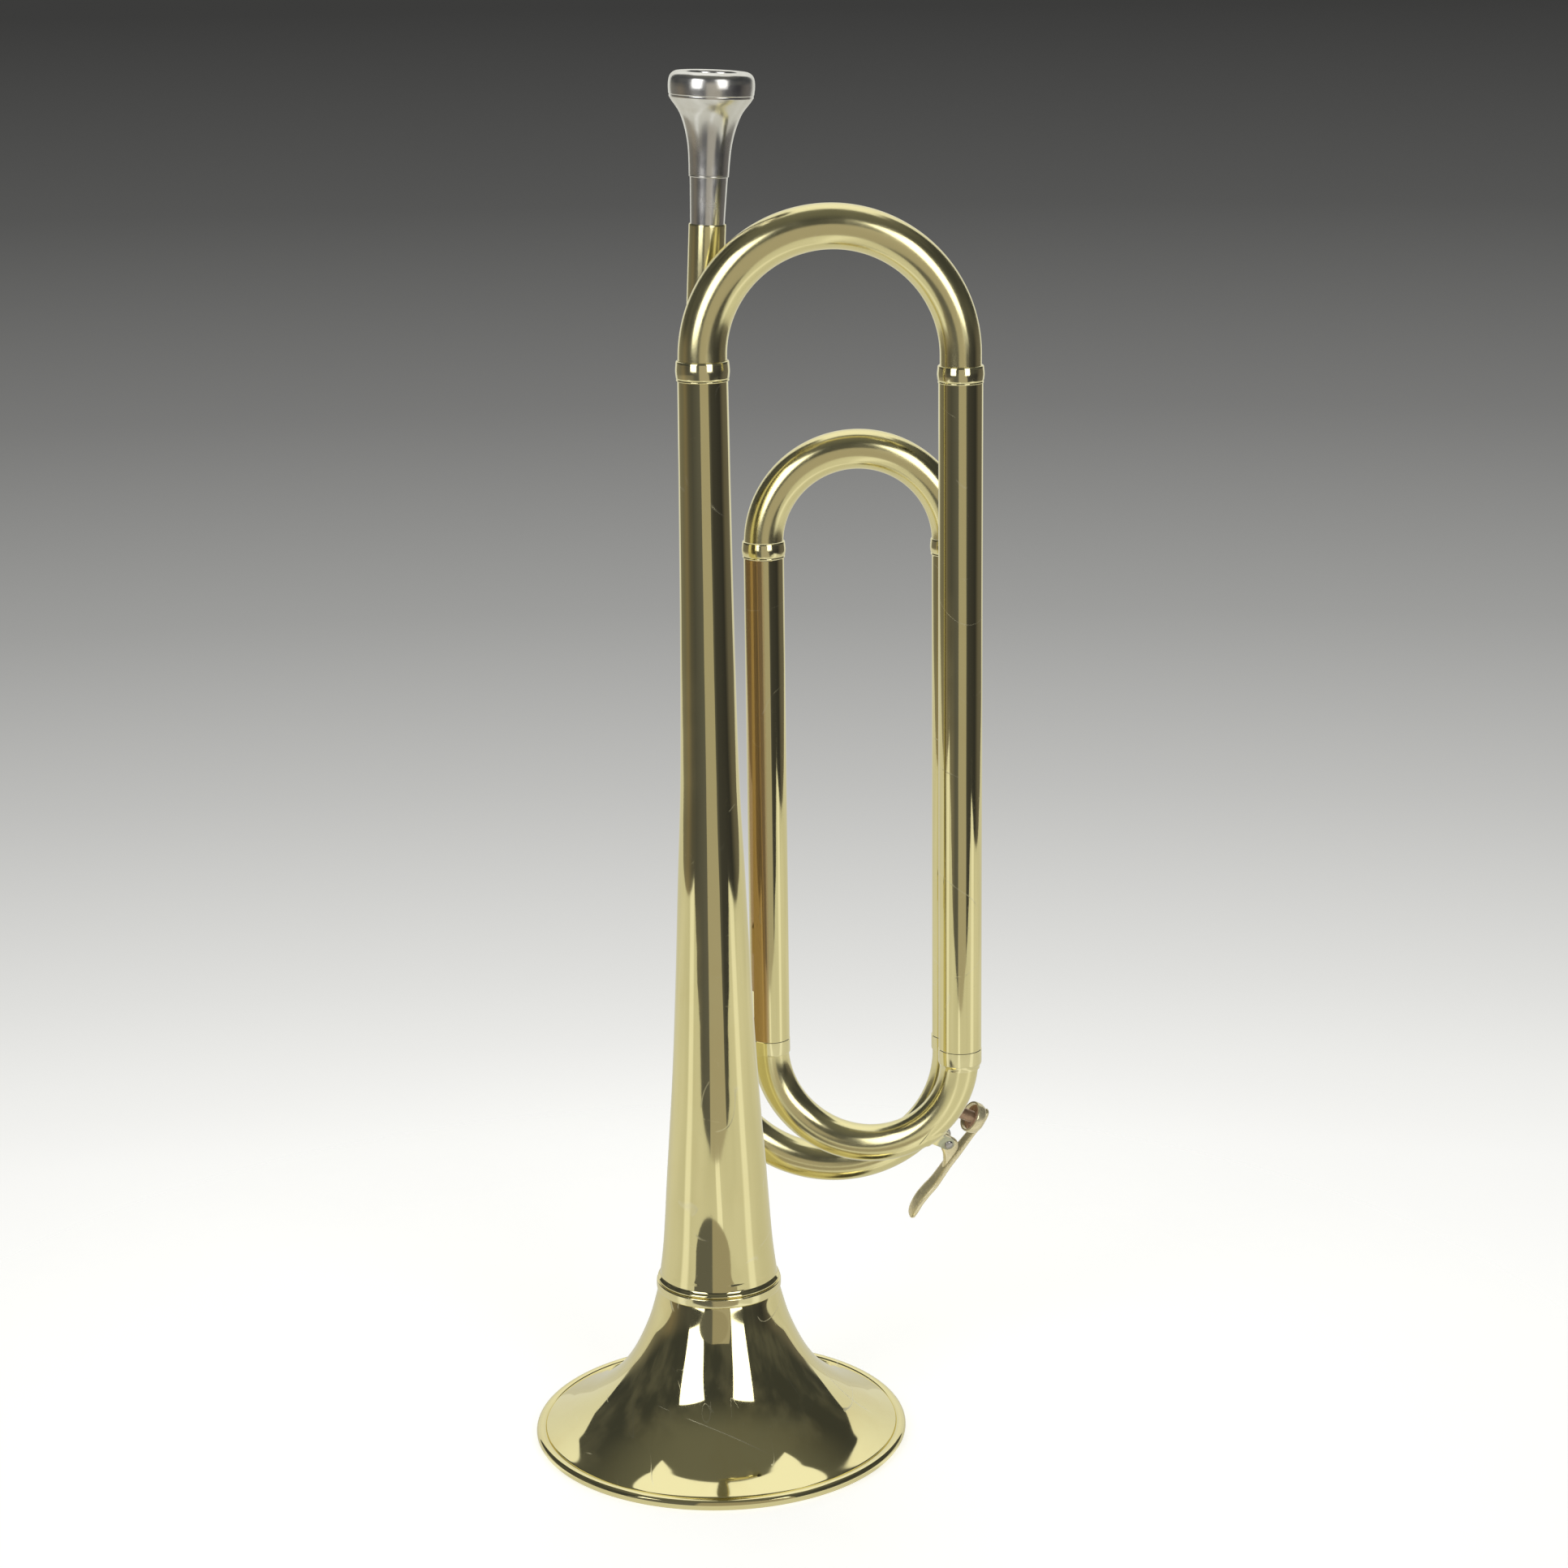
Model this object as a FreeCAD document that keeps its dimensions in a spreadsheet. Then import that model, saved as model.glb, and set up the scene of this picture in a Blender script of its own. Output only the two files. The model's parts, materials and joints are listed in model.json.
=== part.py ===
import FreeCAD, Part
# A bugle standing on its bell: a coiled brass horn in two turns, a removable mouthpiece,
# a tuning slide that carries the small top bow, and a sprung water key on the front bottom bow.
# Millimetres. The origin is the centre of the bell mouth, +Z runs up the bell axis,
# +X points from the bell to the loops and +Y to the layer of tubes behind the bell.
import math
import os

import Sketcher
from FreeCAD import Placement, Rotation, Vector

DIMENSIONS = {
    # bell
    "bell_wall": 0.5,
    "bead_circle_radius": 60.3,
    "bead_radius": 1.9,
    "bead_land_depth": 0.15,
    "rim_wire_radius": 1.3,
    "ring_bottom": 51.9,
    "ring_top": 55.2,
    "ring_radius": 20.7,
    "spigot_radius": 19.4,
    "spigot_top": 57.0,
    # straight tubes: axis position and outer radius
    "tube_wall": 0.5,
    "left_inner_x": 18.3,
    "left_inner_y": 13.3,
    "left_inner_radius": 6.45,
    "right_inner_x": 78.4,
    "right_inner_y": 14.4,
    "right_inner_radius": 6.3,
    "right_outer_x": 80.45,
    "right_outer_y": 0.0,
    "right_outer_radius": 7.0,
    "leadpipe_x": -2.0,
    "leadpipe_y": 22.3,
    "leadpipe_radius": 5.4,
    "bell_axis_leg_x": 0.0,
    "bell_axis_leg_y": 0.0,
    # bows: height of each bow's centre and its tube radius
    "large_bow_z": 362.0,
    "large_bow_big_radius": 7.7,
    "large_bow_small_radius": 6.55,
    "small_bow_z": 300.6,
    "small_bow_radius": 6.3,
    "rear_bow_z": 128.5,
    "rear_bow_radius": 6.2,
    "front_bow_z": 131.0,
    "front_bow_radius": 6.1,
    # heights where tubes end and ferrules sit
    "parting_line": 134.4,
    "lower_ferrule_bottom": 129.6,
    "stem_ferrule_bottom": 354.9,
    "stem_ferrule_top": 361.3,
    "outer_ferrule_bottom": 353.2,
    "outer_ferrule_top": 358.8,
    "small_ferrule_bottom": 296.2,
    "small_ferrule_top": 301.6,
    "ferrule_shoulder": 0.5,
    "fit_gap": 0.03,
    "bow_gap": 0.12,
    # tuning slide
    "slide_leg_length": 55.0,
    "slide_leg_wall": 0.42,
    "spigot_wall": 0.4,
    "slide_clearance": 0.05,
    "joint_gap": 0.1,
    # mouthpiece receiver
    "receiver_mouth_x": 2.1,
    "receiver_mouth_y": 16.5,
    "receiver_mouth_z": 401.8,
    "receiver_lean_x": 0.047,
    "receiver_lean_y": -0.003,
    "receiver_length": 28.0,
    "receiver_radius": 5.85,
    "receiver_socket": 5.0,
    "shank_length": 22.0,
    "shank_mouth_radius": 5.4,
    "shank_end_radius": 4.95,
    # water key, in its own frame: along the bow, across it, and out from the bow's centre line
    "key_angle": 33.0,
    "key_tilt": 30.0,
    "nipple_radius": 2.0,
    "nipple_bore": 1.3,
    "nipple_top": 11.3,
    "cup_radius": 5.2,
    "cup_wall": 0.7,
    "cup_mouth": 10.5,
    "cup_back": 14.6,
    "cork_face": 11.35,
    "pivot_along": 10.7,
    "pivot_out": 7.6,
    "barrel_radius": 1.75,
    "barrel_half_length": 2.9,
    "post_inside": 3.0,
    "post_outside": 4.0,
    "post_radius": 2.0,
    "screw_radius": 0.8,
    "screw_clearance": 0.05,
    "screw_head_radius": 1.5,
    "screw_head_height": 0.7,
    "arm_half_width": 2.3,
    "web_half_width": 1.2,
    "spring_wire_radius": 0.25,
    "spring_coil_radius": 2.15,
    # soldered spacers
    "brace_half_width": 3.0,
    "brace_height": 9.0,
}

# Outer radius of the bell flare and of the bell stem at heights above the rim.
FLARE_PROFILE = [
    (3.3, 59.3), (7.0, 51.6), (12.0, 43.6), (19.0, 35.6), (28.0, 29.1), (40.0, 23.6), (51.9, 20.2),
]
STEM_PROFILE = [
    (59.5, 19.15), (70.5, 17.95), (93.5, 16.4), (127.5, 14.0), (160.0, 12.35), (194.0, 10.95),
    (227.0, 9.5), (270.0, 8.7), (312.0, 8.25), (357.6, 7.9),
]
# Mouthpiece outline outside the receiver and cup outline inside: distance above the receiver, radius.
MOUTHPIECE_SKIRT = [
    (15.4, 6.3), (19.0, 6.45), (24.1, 6.9), (29.1, 7.95), (34.0, 9.75), (37.6, 12.3), (39.2, 13.35),
]
MOUTHPIECE_CUP = [(46.2, 8.6), (43.0, 8.0), (39.0, 6.6), (35.5, 4.4), (32.5, 1.9)]

doc = FreeCAD.newDocument("bugle")
sheet = doc.addObject("Spreadsheet::Sheet", "Dimensions")
for row, (alias, number) in enumerate(DIMENSIONS.items(), start=1):
    sheet.set(f"A{row}", alias)
    sheet.set(f"B{row}", str(number))
    sheet.setAlias(f"B{row}", alias)
doc.recompute()

parts = []


def cell(alias):
    return f"Dimensions.{alias}"


def value(alias):
    return float(sheet.get(alias))


def add(kind, name, **expressions):
    """Make a document object and bind its properties to expressions."""
    item = doc.addObject(kind, name)
    for name_of_property, expression in expressions.items():
        item.setExpression(name_of_property.replace("__", "."), str(expression))
    return item


def finish_part(item, label):
    """Name the object whose shape is one piece of the horn."""
    item.Label = label
    parts.append(item)
    return item


def at(item, placement):
    item.Placement = placement
    return item


def cylinder(name, radius, height, placement=Placement()):
    return at(add("Part::Cylinder", name, Radius=radius, Height=height), placement)


def cut(name, base, tool):
    item = doc.addObject("Part::Cut", name)
    item.Base = base
    item.Tool = tool
    return item


def common(name, base, tool):
    item = doc.addObject("Part::Common", name)
    item.Base = base
    item.Tool = tool
    return item


def fuse(name, *shapes):
    item = doc.addObject("Part::MultiFuse", name)
    item.Shapes = list(shapes)
    return item


def attached_sketch(body, name, role):
    sketch = body.newObject("Sketcher::SketchObject", name)
    plane = next(item for item in body.Origin.OriginFeatures if item.Role == role)
    sketch.AttachmentSupport = [(plane, "")]
    sketch.MapMode = "FlatFace"
    return sketch


def tube_body(label, radius, wall, low, high, x, y):
    """A straight upright tube: two circles padded from one height to another."""
    body = add("PartDesign::Body", label + "_body", Placement__Base__x=x, Placement__Base__y=y,
               Placement__Base__z=low)
    sketch = attached_sketch(body, label + "_section", "XY_Plane")
    for name, expression in (("outside", radius), ("bore", f"{radius} - {wall}")):
        circle = sketch.addGeometry(Part.Circle(Vector(), Vector(0, 0, 1), 5 if name == "outside" else 4))
        sketch.addConstraint(Sketcher.Constraint("Coincident", circle, 3, -1, 1))
        index = sketch.addConstraint(Sketcher.Constraint("Radius", circle, 5 if name == "outside" else 4))
        sketch.renameConstraint(index, name)
        sketch.setExpression(f"Constraints.{name}", expression)
    pad = body.newObject("PartDesign::Pad", label + "_pad")
    pad.Profile = sketch
    pad.setExpression("Length", f"({high}) - ({low})")
    return finish_part(body, label)


def turned_body(label, outline, placement=Placement()):
    """A turned piece: a closed outline of (radius, height) expressions revolved about its axis."""
    body = doc.addObject("PartDesign::Body", label + "_body")
    body.Placement = placement
    sketch = attached_sketch(body, label + "_outline", "XZ_Plane")
    numbers = [tuple(evaluate(text) for text in point) for point in outline]
    corners = [Vector(radius, height, 0) for radius, height in numbers]
    for start, end in zip(corners, corners[1:] + corners[:1]):
        sketch.addGeometry(Part.LineSegment(start, end))
    for index in range(len(corners)):
        before = index - 1 if index else len(corners) - 1
        sketch.addConstraint(Sketcher.Constraint("Coincident", before, 2, index, 1))
    for index, (radius, height) in enumerate(outline):
        for kind, expression in (("DistanceX", radius), ("DistanceY", height)):
            number = evaluate(expression)
            constraint = sketch.addConstraint(Sketcher.Constraint(kind, -1, 1, index, 1, number))
            sketch.setExpression(f"Constraints[{constraint}]", expression)
    revolution = body.newObject("PartDesign::Revolution", label + "_turning")
    revolution.Profile = sketch
    revolution.ReferenceAxis = (sketch, ["V_Axis"])
    revolution.Angle = 360
    return finish_part(body, label)


def evaluate(expression):
    """The number that a sheet expression stands for."""
    return float(sheet.evalExpression(str(expression)))


def frame(x_axis, y_axis, origin):
    """A placement with the given origin and its X and Y axes along two directions."""
    return Placement(origin, Rotation(x_axis, y_axis, x_axis.cross(y_axis), "XYZ"))


def legs(left, right):
    """The two leg axes of a bow in plan, from the names of the tubes they join."""
    return [Vector(value(name + "_x"), value(name + "_y"), 0) for name in (left, right)]


def bow_frame(left, right, height, upward):
    """Placement of a bow's half ring: X from left leg to right leg, Y towards the crown."""
    ends = legs(left, right)
    across = (ends[1] - ends[0]).normalize()
    crown = Vector(0, 0, 1 if upward else -1)
    return frame(across, crown, (ends[0] + ends[1]) / 2 + Vector(0, 0, value(height)))


def span(left, right):
    """Expression for the radius of the half ring between two legs."""
    x_gap = f"({cell(right + '_x')} - {cell(left + '_x')})"
    y_gap = f"({cell(right + '_y')} - {cell(left + '_y')})"
    return f"sqrt({x_gap} * {x_gap} + {y_gap} * {y_gap}) / 2"


def half_ring(name, placement, ring_radius, tube_radius, stub):
    """Half a torus with a straight stub on each end."""
    ring = add("Part::Torus", name + "_ring", Radius1=ring_radius, Radius2=tube_radius)
    ring.Angle3 = 180
    ring.Placement = placement
    radius = evaluate(ring_radius)
    pieces = [ring]
    for side in (-1, 1):
        turn = Rotation(Vector(0, 0, 1), Vector(0, -1, 0))
        foot = placement.multiply(Placement(Vector(side * radius, 0, 0), turn))
        pieces.append(cylinder(f"{name}_stub{side + 1}", tube_radius, stub, foot))
    return fuse(name, *pieces)


def round_bow(label, left, right, height, tube_radius, stub, upward):
    """A bow of constant tube radius."""
    place = bow_frame(left, right, height, upward)
    outside = half_ring(label + "_outside", place, span(left, right), tube_radius, stub)
    bore_radius = f"{tube_radius} - {cell('tube_wall')}"
    bore = half_ring(label + "_bore", place, span(left, right), bore_radius, f"{stub} + 1")
    return cut(label + "_tube", outside, bore)


def ferrule(label, x, y, low, high, step, lower_bore, upper_bore, outside, lean=Placement()):
    """A raised joining sleeve with eased shoulders, bored for the tube in each end."""
    shoulder = cell("ferrule_shoulder")
    outline = [
        (lower_bore, low), (f"{outside} - 0.3", low), (outside, f"{low} + {shoulder}"),
        (f"{outside} + 0.1", f"({low} + {high}) / 2"), (outside, f"{high} - {shoulder}"),
        (f"{outside} - 0.3", high), (upper_bore, high), (upper_bore, step), (lower_bore, step),
    ]
    return turned_body(label, outline, Placement(Vector(x, y, 0), Rotation()).multiply(lean))


# ---------------------------------------------------------------- bell
def spline_edges(stations, inset=0.0):
    """A smooth curve through (height, radius) stations in the XZ plane, moved inward by inset."""
    curve = Part.BSplineCurve()
    curve.interpolate([Vector(radius - inset, 0, height) for height, radius in stations])
    return curve


def revolve_wire(edges):
    return Part.Face(Part.Wire(edges)).revolve(Vector(), Vector(0, 0, 1), 360)


def polyline(points):
    return [Part.makeLine(Vector(*start), Vector(*end)) for start, end in zip(points, points[1:])]


def feature(label, shape):
    item = doc.addObject("Part::Feature", label)
    item.Shape = shape
    return finish_part(item, label)


def build_bell():
    wall = value("bell_wall")
    bead_radius = value("bead_radius")
    bead_height = bead_radius - value("bead_land_depth")
    circle = value("bead_circle_radius")
    wire_radius = value("rim_wire_radius")
    # The flare leans so far outward near the rim that its wall is moved down as well as inward.
    outside = spline_edges(FLARE_PROFILE)
    start, end = FLARE_PROFILE[0], FLARE_PROFILE[-1]
    lowered = [(height - wall * lean, radius - wall * (1 - lean)) for (height, radius), lean in
               zip(FLARE_PROFILE, (0.95, 0.9, 0.85, 0.75, 0.6, 0.3, 0.0))]
    inside = spline_edges(lowered)
    skin = revolve_wire([
        Part.makeLine(Vector(lowered[0][1], 0, lowered[0][0]), Vector(start[1], 0, start[0])),
        outside.toShape(),
        Part.makeLine(Vector(end[1], 0, end[0]), Vector(lowered[-1][1], 0, lowered[-1][0])),
        inside.toShape(),
    ])
    bead = Part.makeTorus(circle, bead_radius, Vector(0, 0, bead_height))
    below = Part.makeCylinder(circle * 2, bead_radius, Vector(0, 0, -bead_radius))
    # a step at the top of the flare leads in to the spigot that the ring and the stem fit over
    step = Vector(0, 0, end[0] - 0.7)
    spigot = Part.makeCylinder(value("spigot_radius"), value("spigot_top") - step.z, step)
    spigot = spigot.fuse(Part.makeCylinder(end[1] - 0.1, 0.7, step))
    spigot = spigot.cut(Part.makeCylinder(value("spigot_radius") - wall, value("spigot_top"), step))
    hollow = Part.makeTorus(circle, wire_radius + 0.02, Vector(0, 0, bead_height))
    flare = skin.fuse(bead).fuse(spigot).cut(below).cut(hollow).removeSplitter()
    feature("bell_flare", flare)
    feature("bell_rim_wire", Part.makeTorus(circle, wire_radius, Vector(0, 0, bead_height)))

    turned_body("bell_ring", [
        (f"{cell('spigot_radius')} + {cell('fit_gap')}", cell("ring_bottom")),
        (f"{cell('ring_radius')} - 0.35", cell("ring_bottom")),
        (cell("ring_radius"), f"{cell('ring_bottom')} + 0.6"),
        (f"{cell('ring_radius')} + 0.05", f"({cell('ring_bottom')} + {cell('ring_top')}) / 2"),
        (cell("ring_radius"), f"{cell('ring_top')} - 0.5"),
        (f"{cell('ring_radius')} - 0.5", cell("ring_top")),
        (f"{cell('spigot_radius')} + {cell('fit_gap')}", cell("ring_top")),
    ])

    # The stem ends in a small rolled bead that sits on the ring.
    foot = value("ring_top") + 0.02
    low = STEM_PROFILE[0]
    outer_foot = Part.Arc(Vector(20.0, 0, foot), Vector(20.5, 0, 57.0), Vector(low[1], 0, low[0]))
    high = STEM_PROFILE[-1]
    socket = value("spigot_radius") + value("fit_gap")
    step = value("spigot_top") + 0.3
    stem_inside = spline_edges(STEM_PROFILE, wall)
    stem = revolve_wire([
        outer_foot.toShape(),
        spline_edges(STEM_PROFILE).toShape(),
        Part.makeLine(Vector(high[1], 0, high[0]), Vector(high[1] - wall, 0, high[0])),
        stem_inside.toShape(),
        Part.makeLine(Vector(low[1] - wall, 0, low[0]), Vector(socket, 0, step)),
        Part.makeLine(Vector(socket, 0, step), Vector(socket, 0, foot)),
        Part.makeLine(Vector(socket, 0, foot), Vector(20.0, 0, foot)),
    ])
    feature("bell_stem", stem)


# ---------------------------------------------------------------- tubes, bows and ferrules
def build_loops():
    wall = cell("tube_wall")
    gap = cell("fit_gap")
    bow_gap = cell("bow_gap")
    butt = 3.0
    tube_top = f"{cell('small_ferrule_bottom')} - {cell('joint_gap')}"
    tube_body("left_inner_tube", cell("left_inner_radius"), wall, cell("parting_line"),
              tube_top, cell("left_inner_x"), cell("left_inner_y"))
    tube_body("right_inner_tube", cell("right_inner_radius"), wall,
              f"{cell('lower_ferrule_bottom')} + {butt}", tube_top, cell("right_inner_x"), cell("right_inner_y"))
    outer_top = f"{cell('large_bow_z')} - 7"
    tube_body("right_outer_tube", cell("right_outer_radius"), wall, cell("parting_line"),
              f"{outer_top} - 0.1", cell("right_outer_x"), cell("right_outer_y"))

    rear = round_bow("rear_bottom_bow", "leadpipe", "right_inner", "rear_bow_z", cell("rear_bow_radius"),
                     butt, False)
    finish_part(rear, "rear_bottom_bow")

    # the right inner tube stands in a sleeve; the other two stand on flush sleeves with a spigot
    step = f"{cell('rear_bow_z')} + {butt} + 0.05"
    turned_body("right_inner_lower_ferrule", [
        (f"{cell('rear_bow_radius')} + {bow_gap}", cell("lower_ferrule_bottom")),
        (f"{cell('right_inner_radius')} + 0.3", cell("lower_ferrule_bottom")),
        (f"{cell('right_inner_radius')} + 0.3", cell("parting_line")),
        (f"{cell('right_inner_radius')} + {gap}", cell("parting_line")),
        (f"{cell('right_inner_radius')} + {gap}", step),
        (f"{cell('rear_bow_radius')} + {bow_gap}", step),
    ], Placement(Vector(value("right_inner_x"), value("right_inner_y"), 0), Rotation()))
    flush_sleeve("left_inner", 0.0)
    flush_sleeve("right_outer", 1.9)

    ferrule("bell_stem_ferrule", 0, 0, cell("stem_ferrule_bottom"), cell("stem_ferrule_top"), "357.7",
            "7.9 + 0.04", f"{cell('large_bow_big_radius')} + {bow_gap}", "8.45")
    ferrule("right_outer_upper_ferrule", value("right_outer_x"), value("right_outer_y"),
            cell("outer_ferrule_bottom"), cell("outer_ferrule_top"), f"{outer_top} + 0.1",
            f"{cell('right_outer_radius')} + {gap}", f"{cell('large_bow_small_radius')} + {bow_gap}",
            f"{cell('right_outer_radius')} + 0.35")


def flush_sleeve(tube, cone):
    """Joins the front bow to a wider tube: level with the tube, spigot inside it, cone down to the bow."""
    low, top = cell("lower_ferrule_bottom"), cell("parting_line")
    outside = f"{cell(tube + '_radius')} + 0.1"
    spigot = f"{cell(tube + '_radius')} - {cell('tube_wall')} - {cell('fit_gap')}"
    bore = f"{cell('front_bow_radius')} + {cell('bow_gap')}"
    inside = f"{spigot} - {cell('spigot_wall')}"
    step = f"{cell('front_bow_z')} + {cell('fit_gap')}"
    outline = [(bore, f"{low} - {cone}"), (f"{bore} + 0.25", f"{low} - {cone}")] if cone else [(bore, low)]
    outline += [(outside, low), (outside, top), (spigot, top), (spigot, f"{top} + 3"), (inside, f"{top} + 3"),
                (inside, step), (bore, step)]
    place = Placement(Vector(value(tube + "_x"), value(tube + "_y"), 0), Rotation())
    turned_body(f"{tube}_lower_ferrule", outline, place)


def build_large_bow():
    """The top bow widens from the right outer tube to the bell stem: circles swept round a half circle."""
    place = bow_frame("bell_axis_leg", "right_outer", "large_bow_z", True)
    ring_radius = span("bell_axis_leg", "right_outer")
    path = add("Part::Circle", "large_bow_path", Radius=ring_radius)
    path.Angle1 = 0
    path.Angle2 = 180
    path.Placement = place
    radius = evaluate(ring_radius)
    solids = []
    for name, inset, extra in (("outside", "0", 0), ("bore", cell("tube_wall"), 1)):
        ends = []
        stubs = []
        for side, alias, stub in ((1, "large_bow_small_radius", 6.8), (-1, "large_bow_big_radius", 4.2)):
            turn = Rotation(Vector(0, 0, 1), Vector(0, -1, 0))
            foot = place.multiply(Placement(Vector(side * radius, 0, 0), turn))
            tube_radius = f"{cell(alias)} - {inset}"
            ends.append(at(add("Part::Circle", f"large_bow_{name}_{alias}", Radius=tube_radius), foot))
            stubs.append(cylinder(f"large_bow_{name}_stub{side + 1}", tube_radius, stub + extra, foot))
        sweep = doc.addObject("Part::Sweep", f"large_bow_{name}_sweep")
        sweep.Sections = ends
        sweep.Spine = (path, ["Edge1"])
        sweep.Solid = True
        solids.append(fuse(f"large_bow_{name}", sweep, *stubs))
    finish_part(cut("large_bow_tube", *solids), "large_top_bow")


# ---------------------------------------------------------------- tuning slide, front bow and water key
def build_tuning_slide():
    """The small top bow with a sleeve and a long leg on each side; the legs run in the inner tubes."""
    stub = 2.6
    bow = round_bow("tuning_slide_bow", "left_inner", "right_inner", "small_bow_z", cell("small_bow_radius"),
                    stub, True)
    finish_part(bow, "tuning_slide_bow")
    low = cell("small_ferrule_bottom")
    step = f"{cell('small_bow_z')} - {stub} - {cell('fit_gap')}"
    for side in ("left", "right"):
        tube = f"{side}_inner"
        radius = f"{cell(tube + '_radius')} - {cell('tube_wall')} - {cell('slide_clearance')}"
        x, y = cell(tube + "_x"), cell(tube + "_y")
        tube_body(f"tuning_slide_{side}_leg", radius, cell("slide_leg_wall"),
                  f"{low} - {cell('slide_leg_length')}", f"{step} - {cell('fit_gap')}", x, y)
        ferrule(f"tuning_slide_{side}_ferrule", value(tube + "_x"), value(tube + "_y"), low,
                cell("small_ferrule_top"), step, f"{radius} + {cell('fit_gap')}",
                f"{cell('small_bow_radius')} + {cell('bow_gap')}", f"{cell(tube + '_radius')} + 0.5")


def key_frame():
    """Frame of the water key: X along the bow towards the touch, Z out through the nipple."""
    ends = legs("left_inner", "right_outer")
    across = (ends[1] - ends[0]).normalize()
    rearward = Vector(-across.y, across.x, 0)
    down = Vector(0, 0, -1)
    angle, tilt = math.radians(value("key_angle")), math.radians(value("key_tilt"))
    outward = across * math.cos(angle) + down * math.sin(angle)
    along = down * math.cos(angle) - across * math.sin(angle)
    out = outward * math.cos(tilt) + rearward * math.sin(tilt)
    ring_radius = evaluate(span("left_inner", "right_outer"))
    centre = (ends[0] + ends[1]) / 2 + Vector(0, 0, value("front_bow_z")) + outward * ring_radius
    return Placement(centre, Rotation(along, out.cross(along), out, "ZXY"))


def key_cylinder(name, radius, low, high, along=0.0):
    """A cylinder along the nipple's axis."""
    place = KEY.multiply(Placement(Vector(along, 0, evaluate(low)), Rotation()))
    return cylinder(name, radius, f"({high}) - ({low})", place)


def cross_cylinder(name, radius, near, far):
    """A cylinder along the hinge axis, between two distances across the bow."""
    origin = Vector(value("pivot_along"), evaluate(near), value("pivot_out"))
    place = KEY.multiply(Placement(origin, Rotation(Vector(0, 0, 1), Vector(0, 1, 0))))
    return cylinder(name, radius, f"({far}) - ({near})", place)


def front_ring(name, tube_radius):
    """The front bow's outside as a plain half ring, to cut pieces that sit on it."""
    ring = add("Part::Torus", name, Radius1=span("left_inner", "right_outer"), Radius2=tube_radius)
    ring.Angle3 = 180
    ring.Placement = bow_frame("left_inner", "right_outer", "front_bow_z", False)
    return ring


def side_prism(name, points, half_width):
    """A flat piece of the key: an outline in the plane of the arm, padded evenly to both sides."""
    corners = [KEY.multVec(Vector(x, -half_width, z)) for x, z in points]
    wire = Part.makePolygon(corners + corners[:1])
    across = KEY.multVec(Vector(0, 1, 0)) - KEY.Base
    item = doc.addObject("Part::Feature", name)
    item.Shape = Part.Face(wire).extrude(across * (2 * half_width))
    return item


def build_front_bow():
    """The bow between the left inner and the right outer tube, with the hole under the water key."""
    bow = round_bow("front_bow", "left_inner", "right_outer", "front_bow_z", cell("front_bow_radius"),
                    cell("fit_gap"), False)
    drain = key_cylinder("drain_hole", cell("nipple_bore"), 3, 9)
    finish_part(cut("front_bow_drained", bow, drain), "front_bottom_bow")


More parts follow.
